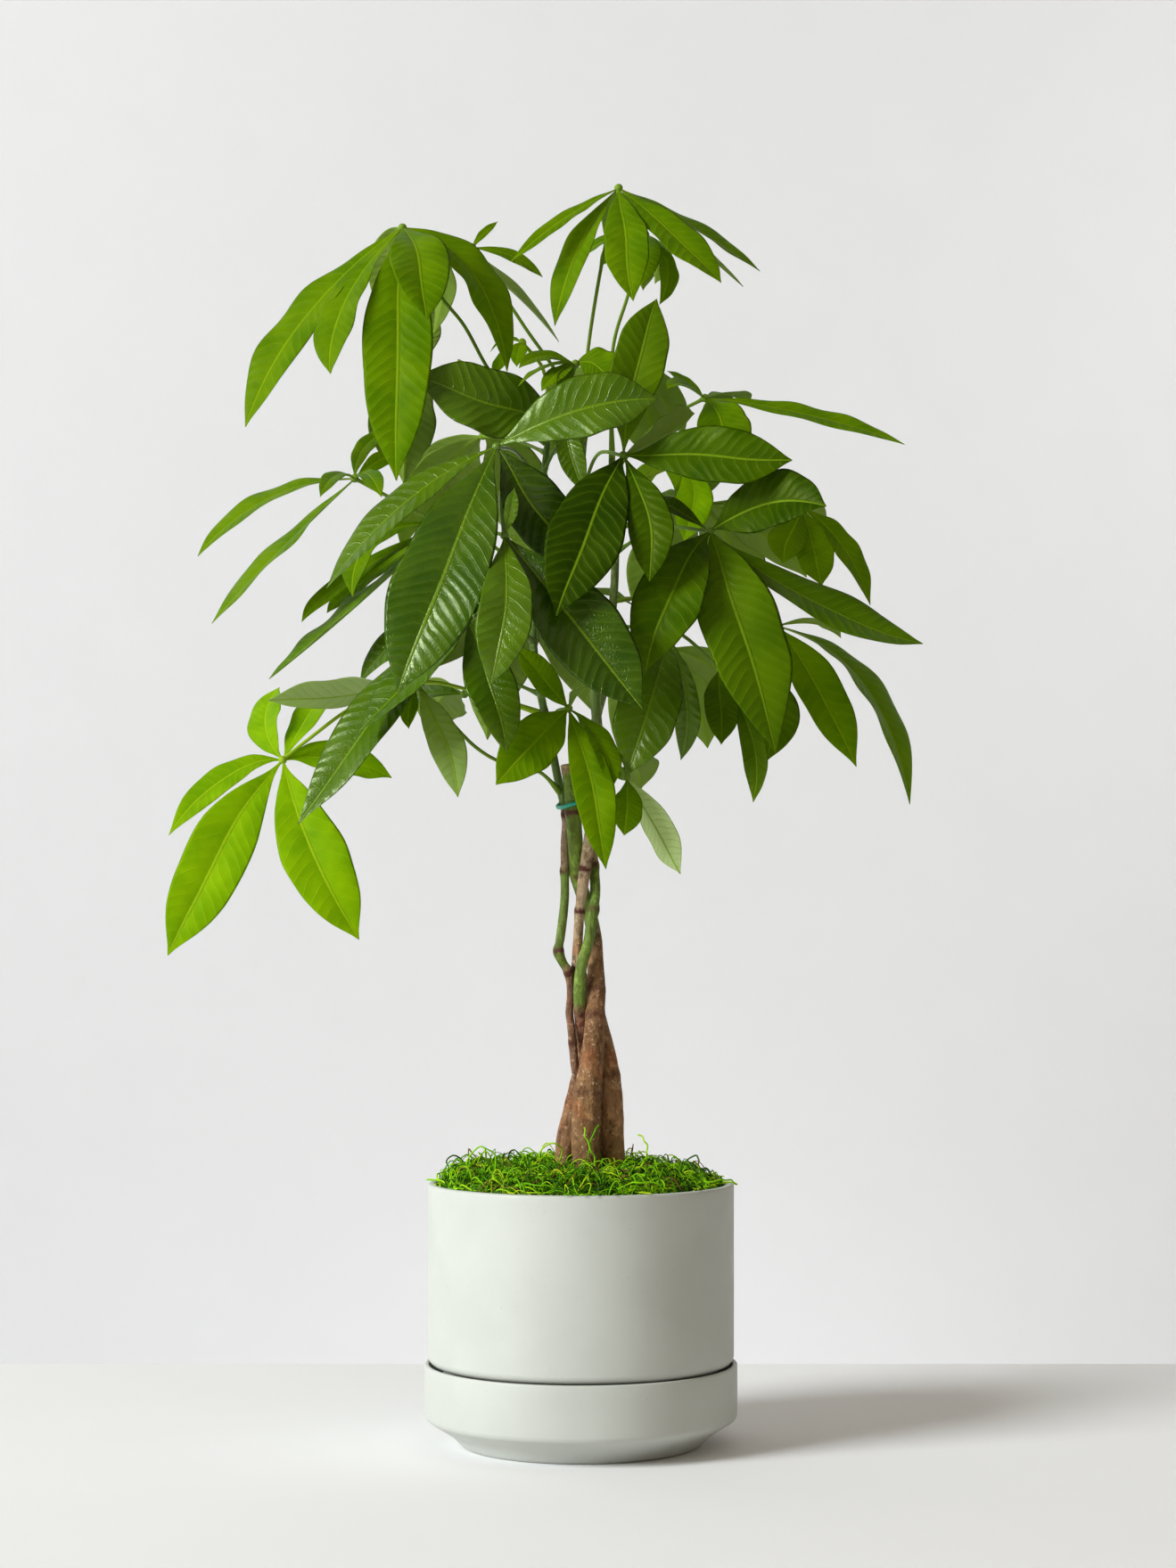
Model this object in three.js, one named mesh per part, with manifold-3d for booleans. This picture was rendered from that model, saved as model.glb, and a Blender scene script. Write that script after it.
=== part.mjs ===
// A potted money tree: four braided stems with palmate leaves, standing in a round pot on a saucer.
// Millimetres, +Z up. The origin is the centre of the saucer's underside; +Y points to the back.
import * as THREE from 'three';
import { mergeVertices } from 'three/addons/utils/BufferGeometryUtils.js';
import Module from 'manifold-3d';

const wasm = await Module();
wasm.setup();

// ---- driving dimensions ----
const GAP = 0.3;                  // clearance between pieces that touch
const SMALLEST_DETAIL = 0.08;     // finer slivers are merged away
const ROUND_SIDES = 36;           // facets round the pot and its saucer

const SAUCER_FOOT_R = 70;
const SAUCER_RIM_R = 91;
const SAUCER_WALL = 3;
const SAUCER_FLOOR = 6;
const SAUCER_BEND_Z = 16.5;       // where the sloping underside turns into the wall
const SAUCER_HEIGHT = 47;

const POT_R = 89;
const POT_HEIGHT = 151.5;         // top of the rim above the table
const POT_WALL = 4.5;
const POT_FLOOR = 6;
const POT_STEP_Z = 46.2;          // underside of the wide body, just above the saucer's rim
const POT_STEP_R = 80;            // the narrower part that nests in the saucer
const POT_CORNER = 6;
const POT_FOOT_R = 69;
const POT_FOOT_CHAMFER_Z = 18;
const DRAIN_R = 8;

const SOIL_TOP = 138;
const MOSS_TOP = 167;
const STEM_BOTTOM = 96;           // how deep the trunks go into the soil

const STEM_SIDES = 8;
const PETIOLE_R = 1.15;
const PETIOLE_SIDES = 5;
const PULVINUS_R = 2.6;           // the knuckle that the leaflets spring from
const BLADE_THICKNESS = 1.1;
const BLADE_FOLD = 0.22;          // how far a blade's edges rise, per unit of half width
const TIE_R = 1.1;
const TIE_Z = 371;
const TIE_SLACK = 0.5;
const TIE_DIP = 1;                // how far the loop sags off level
const TIE_TAIL = 9;               // length of the twisted ends

// ---- colours ----
const GLAZE = 0xc3cdbb;
const SOIL_BROWN = 0x3a2a1e;
const MOSS_GREEN = 0x6f8a2c;
const BARK = 0x8a7550;
const YOUNG_BARK = 0x8d9460;
const TIE_GREEN = 0x2f7f68;
const DARK_LEAF = 0x274d20;
const MID_LEAF = 0x467629;
const LIME_LEAF = 0x8fbf1d;

// ---- the braid: each stem's centre line and radius, [x, y, z, r] from the soil up ----
const STEMS = {
  stem_front: [
    [2, -7, STEM_BOTTOM, 8.2], [2.8, -10, 165, 8.5], [3.8, -11, 200, 8], [6.2, -11, 221, 7],
    [7.9, -8.4, 243, 5.9], [8.9, -3, 263, 5.1], [8.6, 3, 283, 4.4], [7.8, 7, 296, 4.2],
    [5, 8, 309, 4.3], [1, 7, 320, 4.3], [-2, 4, 331, 4.3], [-3.2, 0, 348, 4.3],
    [-4.4, -2, 365, 4.5], [-5.4, -3, 383, 4.9], [-7, -3, 395, 5],
  ],
  stem_right: [
    [17.5, 4, STEM_BOTTOM, 7.6], [17.9, 2, 170, 7.8], [16.9, 2.5, 200, 7.1], [15.2, 3.5, 221, 6.4],
    [13, 5, 232, 5.9], [8.5, 9, 250, 5.3], [3.5, 10, 264, 4.4], [-1.8, 3.2, 277, 3.2],
    [-1.8, -2, 290, 2.9], [-1.3, -4.4, 300, 2.9], [-0.6, -5, 310, 2.9], [0.8, -5, 322, 3.1],
    [2.2, -5, 332, 3.2], [4.4, -5, 349, 3.1], [6.2, -3, 364, 3], [8.5, -3, 383, 3],
    [10.6, -2, 401, 3], [8.6, 0, 430, 2.9], [8, 2, 446, 2.8], [3, 4, 520, 2.4],
    [0, 5, 588, 2],
  ],
  stem_left: [
    [-10.5, 5, STEM_BOTTOM, 5.4], [-9, 4, 173, 5.5], [-5.2, 5.5, 193, 5.2], [-1, 8, 211, 4.9],
    [1.6, 8, 228, 4.5], [0.6, 2.5, 243, 4], [-0.6, -4.5, 257, 3.6], [-0.6, -8.6, 268, 3.4],
    [0.8, -9.5, 279, 3.3], [4.2, -8, 291, 3.1], [5.8, -6.2, 301, 3.1], [7.4, -4.6, 311, 3.1],
    [8.4, -1, 323, 2.9], [7.6, 2.5, 334, 2.9], [6.4, 7, 348, 2.9], [3.5, 8.5, 365, 2.9],
    [3, 10, 383, 2.9], [5, 11, 401, 2.9], [14, 12, 450, 2.7], [20, 12, 510, 2.4],
    [18, 12, 575, 2],
  ],
  stem_thin: [
    [5, 14, STEM_BOTTOM, 2.6], [4, 13, 165, 2.6], [3.8, 4, 190, 2.5], [1.6, 0, 200, 2.4],
    [-0.6, -1.2, 208, 2.4],
    [-3.1, -1.7, 217, 2.4], [-4.6, -1.5, 231, 2.4], [-5.8, -0.9, 243, 2.3], [-6.7, 0.5, 250, 2.3],
    [-6, 1, 259, 2.3], [-6, 0.6, 266, 2.4], [-7.2, -1, 274, 2.6], [-10.8, -1.6, 280, 2.6],
    [-13, -0.6, 286, 2.7], [-12, 0.8, 294, 2.6], [-10.8, 2, 303, 2.6], [-9.4, 3, 318, 2.5],
    [-9.4, 4.8, 333, 2.5], [-9.4, 6, 349, 2.5], [-8.6, 6, 365, 2.5], [-12.6, 4, 383, 2.4],
    [-20.5, 2, 422, 2.4], [-26, 2, 450, 2.3], [-28, 2, 476, 2.2], [-24, 0, 540, 2],
    [-18, -3, 594, 1.8],
  ],
};

// ---- the leaves: the stem and the height each petiole springs from, the petiole's way to its
// hub, and the blades round the hub as [a point halfway along, the tip, full width, facing] ----
const FRONT = [0, -1, 0.25];
const FRONT_UP = [0, -0.7, 0.7];
const FRONT_LEFT = [-0.6, -0.8, 0.4];
const FRONT_RIGHT = [0.6, -0.8, 0.4];
const UP = [0, -0.12, 1];
const UP_FRONT = [0, -0.4, 0.9];
const UP_BACK = [0, 0.55, 0.85];
const UP_LEFT = [-0.55, -0.3, 0.8];
const UP_RIGHT = [0.55, -0.3, 0.8];
const BACK = [0, 1, 0.35];
const BACK_LEFT = [-0.6, 0.8, 0.4];
const BACK_RIGHT = [0.6, 0.8, 0.4];

const LEAVES = {
  leaf_top_centre: {
    stem: 'stem_right', from: 583, colour: MID_LEAF,
    route: [[4, 3, 636], [15, 4, 702]], hub: [22, 5, 732],
    blades: [
      [[-8, -10, 711], [-40, -25, 682], 11, FRONT_UP],
      [[-1, -8, 694], [-15, -20, 646], 20, FRONT_LEFT],
      [[25, -22, 696], [30, -36, 657], 26, FRONT],
      [[53, -20, 699], [80, -38, 667], 25, FRONT_UP],
      [[63, 8, 711], [105, 12, 685], 22, UP_FRONT],
      [[62, 30, 709], [97, 44, 683], 22, UP_FRONT],
      [[23, 44, 725], [24, 80, 712], 22, BACK],
    ],
  },
  leaf_top_right: {
    stem: 'stem_left', from: 571, colour: MID_LEAF,
    route: [[19, 25, 643], [28, 28, 675]], hub: [38, 30, 711],
    blades: [
      [[17, 30, 708], [-1, 28, 696], 14, UP_FRONT],
      [[24, 46, 708], [11, 58, 698], 12, UP_BACK],
      [[38, 6, 695], [35, -12, 671], 18, FRONT],
      [[50, 18, 690], [46, 6, 664], 15, FRONT_RIGHT],
      [[46, 54, 706], [45, 80, 693], 20, BACK_RIGHT],
      [[38, 64, 706], [38, 94, 692], 20, BACK],
    ],
  },
  leaf_top_left: {
    stem: 'stem_thin', from: 586, colour: MID_LEAF,
    route: [[-51, -6, 620], [-68, -10, 649], [-81, -12, 665]], hub: [-103, -15, 704],
    blades: [
      [[-157, -25, 651], [-191, -37, 585], 32, FRONT_LEFT],
      [[-134, -38, 656], [-141, -54, 612], 27, FRONT_LEFT],
      [[-104, -46, 630], [-104, -52, 552], 40, FRONT],
      [[-92, -56, 677], [-85, -84, 636], 34, FRONT_UP],
      [[-61, -25, 674], [-42, -35, 617], 30, FRONT_RIGHT],
      [[-54, 6, 683], [-13, 24, 646], 28, UP_RIGHT],
      [[-83, 14, 687], [-88, 34, 652], 18, BACK_RIGHT],
      [[-112, 16, 696], [-120, 40, 668], 24, BACK],
    ],
  },
  leaf_top_left_back: {
    stem: 'stem_right', from: 578, colour: MID_LEAF,
    route: [[-9, 14, 616], [-34, 25, 656]], hub: [-65, 42, 706],
    blades: [
      [[-59, 48, 715], [-50, 56, 725], 5, FRONT],
      [[-41, 46, 701], [-23, 50, 690], 11, FRONT_UP],
      [[-86, 84, 696], [-92, 116, 672], 15, BACK_LEFT],
      [[-100, 62, 694], [-132, 76, 664], 24, UP_LEFT],
    ],
  },
  leaf_small_crown: {
    stem: 'stem_thin', from: 591, colour: LIME_LEAF,
    route: [[-22, -5, 624]], hub: [-34, -3, 640],
    blades: [
      [[-36, -10, 634], [-37, -18, 623], 10, FRONT],
      [[-43, -7, 632], [-51, -12, 618], 11, FRONT_LEFT],
      [[-44, 3, 643], [-53, 8, 637], 9, UP_FRONT],
    ],
  },
  leaf_small_star: {
    stem: 'stem_right', from: 580, colour: MID_LEAF,
    route: [[-4, -12, 595], [-6, -28, 610]], hub: [-3, -36, 621],
    blades: [
      [[-20, -42, 624], [-35, -50, 616], 13, FRONT_UP],
      [[-19, -50, 617], [-35, -60, 604], 12, UP_LEFT],
      [[-12, -52, 613], [-22, -66, 600], 12, FRONT_UP],
      [[-9, -52, 610], [-13, -66, 598], 10, FRONT_RIGHT],
      [[11, -42, 618], [24, -48, 603], 24, FRONT],
    ],
  },
  leaf_upper_left_glossy: {
    stem: 'stem_thin', from: 566, colour: DARK_LEAF,
    route: [[-14, -8, 579]], hub: [-8, -17, 587],
    blades: [
      [[-48, -39, 598], [-94, -48, 612], 43, FRONT],
      [[-6, -22, 574], [2, -26, 548], 16, FRONT],
    ],
  },
  leaf_front_left: {
    stem: 'stem_thin', from: 556, colour: DARK_LEAF,
    route: [[-36, -30, 571]], hub: [-47, -65, 569],
    blades: [
      [[-1, -78, 587], [43, -74, 594], 37, FRONT],
      [[-97, -78, 536], [-140, -88, 487], 27, FRONT_LEFT],
      [[-74, -106, 495], [-99, -116, 427], 51, FRONT],
      [[-25, -66, 536], [-1, -50, 502], 36, FRONT],
    ],
  },
  leaf_centre: {
    stem: 'stem_right', from: 556, colour: DARK_LEAF,
    route: [[10, -28, 571]], hub: [24, -60, 565],
    blades: [
      [[31, -64, 611], [43, -50, 655], 30, FRONT],
      [[71, -78, 561], [117, -86, 558], 33, FRONT],
      [[4, -92, 518], [-13, -114, 469], 42, FRONT],
      [[37, -86, 527], [38, -94, 490], 25, FRONT],
      [[48, -44, 580], [65, -30, 594], 30, UP_BACK],
    ],
  },
  leaf_right_front: {
    stem: 'stem_left', from: 520, colour: DARK_LEAF,
    route: [[45, -20, 530]], hub: [73, -55, 523],
    blades: [
      [[105, -78, 535], [135, -96, 531], 36, FRONT],
      [[54, -48, 536], [41, -34, 545], 13, FRONT_UP],
      [[50, -84, 486], [36, -88, 441], 38, FRONT],
      [[89, -82, 467], [108, -88, 396], 45, FRONT],
      [[132, -62, 481], [192, -62, 459], 33, FRONT_UP],
    ],
  },
  leaf_front_hanging: {
    stem: 'stem_thin', from: 548, colour: DARK_LEAF,
    route: [[-34, -26, 555], [-44, -58, 547], [-44, -80, 532]], hub: [-42, -90, 516],
    blades: [
      [[-41, -124, 470], [-48, -128, 431], 30, FRONT],
      [[-3, -104, 466], [34, -114, 418], 44, FRONT],
      [[-38, -98, 528], [-36, -108, 539], 8, FRONT],
    ],
  },
  leaf_left: {
    stem: 'stem_thin', from: 524, colour: MID_LEAF,
    route: [[-60, -2, 532], [-90, -6, 539], [-118, -9, 553]], hub: [-131, -10, 560],
    blades: [
      [[-181, -10, 548], [-221, -16, 514], 25, UP_FRONT],
      [[-169, -36, 517], [-209, -46, 472], 31, UP_LEFT],
      [[-127, 18, 582], [-111, 40, 599], 12, FRONT_UP],
      [[-118, 0, 571], [-105, 8, 578], 11, FRONT],
      [[-139, -38, 557], [-146, -64, 541], 11, FRONT_UP],
      [[-121, -34, 558], [-112, -56, 542], 12, FRONT_UP],
    ],
  },
  leaf_left_inner: {
    stem: 'stem_thin', from: 498, colour: MID_LEAF,
    route: [[-52, -8, 522]], hub: [-78, -20, 532],
    blades: [
      [[-119, -36, 520], [-129, -46, 487], 20, FRONT_LEFT],
      [[-133, -26, 500], [-159, -36, 474], 14, FRONT_UP],
      [[-124, -8, 502], [-147, -10, 482], 14, FRONT_UP],
      [[-134, -32, 479], [-177, -42, 441], 30, UP_LEFT],
    ],
  },
  leaf_left_lower: {
    stem: 'stem_thin', from: 466, colour: DARK_LEAF,
    route: [[-45, -20, 481]], hub: [-65, -40, 476],
    blades: [
      [[-87, -66, 447], [-123, -76, 409], 34, FRONT_LEFT],
      [[-108, -56, 426], [-158, -70, 357], 36, FRONT_LEFT],
      [[-50, -70, 437], [-41, -80, 397], 28, FRONT],
      [[-101, -32, 466], [-126, -34, 439], 22, FRONT_LEFT],
    ],
  },
  leaf_lime_low: {
    stem: 'stem_thin', from: 424, colour: LIME_LEAF,
    route: [[-63, 5, 438], [-91, 2, 443], [-126, -10, 431], [-157, -20, 408]], hub: [-171, -25, 396],
    blades: [
      [[-183, -6, 419], [-177, 14, 441], 24, FRONT_LEFT],
      [[-160, -4, 420], [-153, 20, 437], 19, UP],
      [[-203, -32, 386], [-234, -42, 352], 19, FRONT_UP],
      [[-202, -46, 347], [-233, -52, 284], 37, FRONT],
      [[-151, -56, 343], [-124, -66, 293], 37, FRONT],
      [[-141, -12, 397], [-110, -2, 387], 28, FRONT_UP],
    ],
  },
  leaf_low_left: {
    stem: 'stem_thin', from: 378, colour: MID_LEAF,
    route: [[-24, -8, 390], [-46, -20, 395], [-60, -28, 403], [-75, -34, 418]], hub: [-93, -36, 437],
    blades: [
      [[-136, -30, 433], [-178, -40, 429], 28, UP_BACK],
      [[-97, -46, 426], [-97, -52, 412], 10, FRONT],
      [[-77, -52, 406], [-69, -58, 373], 20, FRONT],
    ],
  },
  leaf_low_centre: {
    stem: 'stem_thin', from: 417, colour: MID_LEAF,
    route: [[-14, -20, 424]], hub: [-7, -45, 424],
    blades: [
      [[-26, -66, 403], [-47, -78, 379], 30, FRONT],
      [[6, -76, 379], [14, -84, 332], 23, FRONT],
      [[-21, -58, 440], [-36, -64, 457], 16, FRONT],
      [[0, -62, 433], [5, -76, 433], 14, FRONT_UP],
      [[10, -62, 405], [17, -76, 376], 18, FRONT_RIGHT],
    ],
  },
  leaf_low_right: {
    stem: 'stem_right', from: 398, colour: MID_LEAF,
    route: [[18, 5, 399]], hub: [27, 10, 388],
    blades: [
      [[27, -6, 370], [25, -14, 353], 18, FRONT],
      [[43, 4, 359], [58, 0, 331], 22, UP_BACK],
      [[32, 46, 396], [36, 84, 384], 28, BACK],
    ],
  },
  leaf_right_inner: {
    stem: 'stem_left', from: 459, colour: DARK_LEAF,
    route: [[32, -3, 470]], hub: [51, -20, 468],
    blades: [
      [[40, -52, 428], [26, -62, 385], 36, FRONT],
      [[61, -14, 430], [58, -6, 397], 15, FRONT],
      [[52, 6, 478], [44, 38, 470], 24, UP],
    ],
  },
  leaf_right_small: {
    stem: 'stem_left', from: 476, colour: DARK_LEAF,
    route: [[52, 2, 474]], hub: [80, -10, 451],
    blades: [
      [[80, -28, 428], [80, -38, 404], 20, FRONT],
      [[98, -34, 408], [98, -40, 371], 16, FRONT_LEFT],
      [[107, -8, 429], [107, -10, 396], 34, FRONT],
    ],
  },
  leaf_right_lower: {
    stem: 'stem_left', from: 492, colour: MID_LEAF,
    route: [[50, 14, 494], [90, 8, 488]], hub: [114, 2, 476],
    blades: [
      [[135, -16, 441], [158, -26, 392], 28, FRONT_UP],
      [[164, -6, 441], [190, -14, 371], 38, UP_RIGHT],
      [[138, 28, 480], [156, 52, 474], 14, BACK_RIGHT],
    ],
  },
  leaf_right_upper: {
    stem: 'stem_left', from: 566, colour: MID_LEAF,
    route: [[45, 18, 596]], hub: [73, 20, 612],
    blades: [
      [[133, 14, 601], [189, 4, 582], 17, FRONT_UP],
      [[88, 42, 618], [102, 62, 617], 18, UP],
      [[82, -2, 592], [88, -14, 562], 32, FRONT],
      [[61, 26, 623], [51, 30, 630], 10, UP_FRONT],
      [[60, 2, 616], [50, -10, 612], 14, FRONT_UP],
      [[84, 60, 610], [88, 102, 590], 24, BACK],
      [[92, 50, 604], [100, 84, 588], 16, BACK_RIGHT],
    ],
  },
  leaf_right_middle: {
    stem: 'stem_left', from: 534, colour: MID_LEAF,
    route: [[75, 14, 548]], hub: [130, 8, 545],
    blades: [
      [[121, -6, 527], [117, -16, 510], 22, FRONT],
      [[135, -6, 519], [139, -16, 497], 22, FRONT],
      [[152, 5, 524], [168, -6, 487], 20, FRONT_RIGHT],
      [[138, 44, 546], [144, 78, 532], 18, BACK],
    ],
  },
  leaf_right_young: {
    stem: 'stem_left', from: 548, colour: LIME_LEAF,
    route: [[38, 24, 565]], hub: [62, 32, 577],
    blades: [
      [[66, 10, 552], [60, 0, 525], 22, FRONT],
      [[88, 46, 580], [110, 58, 564], 26, UP_RIGHT],
      [[64, 62, 584], [58, 100, 568], 30, BACK],
      [[44, 60, 576], [28, 82, 558], 22, BACK_LEFT],
    ],
  },
  leaf_back_left: {
    stem: 'stem_thin', from: 576, colour: MID_LEAF,
    route: [[-38, 40, 590]], hub: [-60, 80, 600],
    blades: [
      [[-92, 100, 576], [-112, 116, 534], 32, BACK_LEFT],
      [[-84, 132, 584], [-96, 166, 540], 40, BACK],
      [[-42, 128, 582], [-30, 162, 530], 40, BACK],
      [[-26, 92, 604], [2, 98, 590], 28, UP],
      [[-70, 92, 628], [-76, 106, 652], 26, BACK],
    ],
  },
  leaf_back_right: {
    stem: 'stem_left', from: 540, colour: MID_LEAF,
    route: [[44, 50, 554]], hub: [70, 86, 560],
    blades: [
      [[108, 104, 548], [140, 114, 518], 34, BACK_RIGHT],
      [[94, 134, 534], [106, 166, 480], 40, BACK],
      [[52, 138, 536], [40, 172, 490], 40, BACK],
      [[46, 104, 566], [26, 116, 552], 28, UP],
      [[80, 106, 590], [86, 120, 620], 26, BACK],
    ],
  },
  leaf_back_low: {
    stem: 'stem_right', from: 482, colour: DARK_LEAF,
    route: [[-12, 38, 495]], hub: [-30, 76, 500],
    blades: [
      [[-68, 98, 488], [-100, 112, 458], 34, BACK_LEFT],
      [[-50, 128, 474], [-60, 160, 420], 42, BACK],
      [[-6, 128, 480], [12, 160, 432], 38, BACK],
      [[4, 88, 506], [32, 92, 498], 26, UP],
    ],
  },
  leaf_back_low_right: {
    stem: 'stem_left', from: 448, colour: MID_LEAF,
    route: [[34, 40, 466]], hub: [50, 72, 470],
    blades: [
      [[84, 94, 458], [110, 112, 428], 32, BACK_RIGHT],
      [[68, 118, 454], [80, 150, 414], 36, BACK],
      [[36, 118, 450], [30, 150, 402], 36, BACK],
      [[22, 92, 468], [0, 104, 450], 28, UP_LEFT],
    ],
  },
  leaf_back_top: {
    stem: 'stem_right', from: 574, colour: MID_LEAF,
    route: [[8, 36, 612]], hub: [20, 72, 638],
    blades: [
      [[44, 96, 634], [64, 118, 606], 28, BACK_RIGHT],
      [[38, 116, 628], [50, 144, 590], 38, BACK],
      [[-4, 116, 630], [-20, 142, 596], 34, BACK],
      [[18, 104, 646], [16, 132, 632], 20, BACK],
    ],
  },
  leaf_back_upper_left: {
    stem: 'stem_thin', from: 581, colour: DARK_LEAF,
    route: [[-60, 28, 612]], hub: [-100, 62, 636],
    blades: [
      [[-116, 94, 628], [-124, 122, 592], 28, BACK_LEFT],
      [[-108, 108, 622], [-112, 142, 580], 38, BACK],
      [[-98, 72, 662], [-92, 70, 686], 24, BACK],
    ],
  },
  leaf_back_lower_left: {
    stem: 'stem_thin', from: 436, colour: DARK_LEAF,
    route: [[-48, 26, 446]], hub: [-70, 50, 440],
    blades: [
      [[-104, 68, 438], [-126, 82, 420], 30, UP_LEFT],
      [[-86, 92, 440], [-96, 126, 424], 34, BACK],
      [[-54, 84, 432], [-44, 112, 404], 32, BACK_RIGHT],
    ],
  },
};

// ---- solids ----
function solidOf(geometry) {
  const bare = geometry.clone();
  bare.deleteAttribute('normal');
  bare.deleteAttribute('uv');
  const welded = mergeVertices(bare, 1e-4);
  return new wasm.Manifold(new wasm.Mesh({
    numProp: 3,
    vertProperties: new Float32Array(welded.attributes.position.array),
    triVerts: new Uint32Array(welded.index.array),
  }));
}

function geometryOf(solid) {
  const mesh = solid.getMesh();
  const geometry = new THREE.BufferGeometry();
  geometry.setAttribute('position', new THREE.BufferAttribute(mesh.vertProperties, 3));
  geometry.setIndex(new THREE.BufferAttribute(mesh.triVerts, 1));
  geometry.computeVertexNormals();
  return geometry;
}

const point = ([x, y, z]) => new THREE.Vector3(x, y, z);

// Slivers thinner than the smallest detail are merged into their neighbours.
const cleaned = (solid) => solid.asOriginal().simplify(SMALLEST_DETAIL);

// A closed skin over a row of rings that all have the same number of points, with a point at each end.
// Its facets alternate, so that both faces of a thin blade crease along the same lines.
function loft(start, rings, end) {
  const sides = rings[0].length;
  const vertices = [start, ...rings.flat(), end];
  const last = vertices.length - 1;
  const index = [];
  for (let side = 0; side < sides; side += 1) {
    const next = (side + 1) % sides;
    index.push(0, 1 + next, 1 + side);
    for (let ring = 0; ring < rings.length - 1; ring += 1) {
      const near = 1 + ring * sides;
      const far = near + sides;
      if (side % 2 === 0) {
        index.push(near + side, near + next, far + side);
        index.push(near + next, far + next, far + side);
      } else {
        index.push(near + side, near + next, far + next);
        index.push(near + side, far + next, far + side);
      }
    }
    const rim = 1 + (rings.length - 1) * sides;
    index.push(rim + side, rim + next, last);
  }
  const geometry = new THREE.BufferGeometry();
  geometry.setFromPoints(vertices);
  geometry.setIndex(index);
  return geometry;
}

// A round profile turned about Z, from [radius, z] pairs.
function turned(profile) {
  const outline = profile.map(([radius, z]) => new THREE.Vector2(radius, z));
  return new THREE.LatheGeometry(outline, ROUND_SIDES).rotateX(Math.PI / 2);
}

// ---- pot, saucer and soil ----
const corner = (r, z, radius, angles) => angles.map((degrees) => {
  const angle = THREE.MathUtils.degToRad(degrees);
  return [r + radius * Math.cos(angle), z + radius * Math.sin(angle)];
});

function saucerGeometry() {
  const wallR = SAUCER_RIM_R - SAUCER_WALL;
  const lip = SAUCER_WALL / 2;
  return turned([
    [0, 0], [SAUCER_FOOT_R, 0], [SAUCER_FOOT_R + 1.5, 1.5], [SAUCER_FOOT_R + 7, 7],
    ...corner(SAUCER_RIM_R - 5, SAUCER_BEND_Z + 2, 5, [-45, -15]),
    ...corner(SAUCER_RIM_R - lip, SAUCER_HEIGHT - lip, lip, [0, 45, 90, 135, 180]),
    [wallR, SAUCER_BEND_Z + 5], [wallR - 3, SAUCER_BEND_Z + 1], [SAUCER_FOOT_R + 1, SAUCER_FLOOR],
    [0, SAUCER_FLOOR],
  ]);
}

const potFootZ = SAUCER_FLOOR + GAP;
const potFloorZ = potFootZ + POT_FLOOR;
const potInnerR = POT_R - POT_WALL;
const potStepInnerR = POT_STEP_R - POT_WALL;

function potGeometry() {
  const lip = POT_WALL / 2;
  return turned([
    [DRAIN_R, potFootZ], [POT_FOOT_R, potFootZ], [POT_STEP_R, POT_FOOT_CHAMFER_Z],
    [POT_STEP_R, POT_STEP_Z],
    ...corner(POT_R - POT_CORNER, POT_STEP_Z + POT_CORNER, POT_CORNER, [-90, -60, -30, 0]),
    ...corner(POT_R - lip, POT_HEIGHT - lip, lip, [0, 45, 90, 135, 180]),
    [potInnerR, POT_STEP_Z + 9], [potStepInnerR, POT_STEP_Z + 3],
    [potStepInnerR, POT_FOOT_CHAMFER_Z + 4], [POT_FOOT_R - 4, potFloorZ], [DRAIN_R, potFloorZ],
    [DRAIN_R, potFootZ],
  ]);
}

function soilGeometry() {
  const reach = potInnerR - GAP;
  const stepReach = potStepInnerR - GAP;
  return turned([
    [0, potFloorZ + GAP], [POT_FOOT_R - 5, potFloorZ + GAP],
    [stepReach, POT_FOOT_CHAMFER_Z + 5], [stepReach, POT_STEP_Z + 3.5],
    [reach, POT_STEP_Z + 10], [reach, SOIL_TOP - 6], [reach - 8, SOIL_TOP], [0, SOIL_TOP],
  ]);
}

// The moss lies on the soil as a lumpy mound; a few sine waves make its lumps.
function mossGeometry() {
  const reach = potInnerR - GAP;
  const crown = MOSS_TOP - SOIL_TOP;
  const geometry = turned([
    [0, SOIL_TOP + GAP], [reach - 8, SOIL_TOP + GAP], [reach, SOIL_TOP - 5.7],
    [reach, POT_HEIGHT - 2], [reach - 5, POT_HEIGHT + 7], [reach * 0.78, SOIL_TOP + crown * 0.9],
    [reach * 0.4, SOIL_TOP + crown * 0.97], [0, MOSS_TOP],
  ]);
  const position = geometry.attributes.position;
  for (let i = 0; i < position.count; i += 1) {
    const x = position.getX(i);
    const y = position.getY(i);
    const z = position.getZ(i);
    const lift = THREE.MathUtils.clamp((z - POT_HEIGHT) / crown, 0, 1);
    const lump = 5 * Math.sin(x * 0.11 + 1) * Math.cos(y * 0.09) + 3 * Math.sin(x * 0.05 - y * 0.14);
    position.setZ(i, z + lump * lift);
  }
  return geometry;
}

// ---- stems ----
function stemCurve(name) {
  return new THREE.CatmullRomCurve3(STEMS[name].map(point), false, 'centripetal');
}

function stemRadius(name, height) {
  const rows = STEMS[name];
  const above = Math.max(1, rows.findIndex((row) => row[2] >= height));
  const [lower, upper] = [rows[above - 1], rows[above]];
  const share = THREE.MathUtils.clamp((height - lower[2]) / (upper[2] - lower[2]), 0, 1);
  return THREE.MathUtils.lerp(lower[3], upper[3], share);
}

function stemPoint(name, height) {
  const curve = stemCurve(name);
  let low = 0;
  let high = 1;
  while (high - low > 1e-4) {
    const middle = (low + high) / 2;
    if (curve.getPoint(middle).z < height) low = middle;
    else high = middle;
  }
  return curve.getPoint(low);
}

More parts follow.
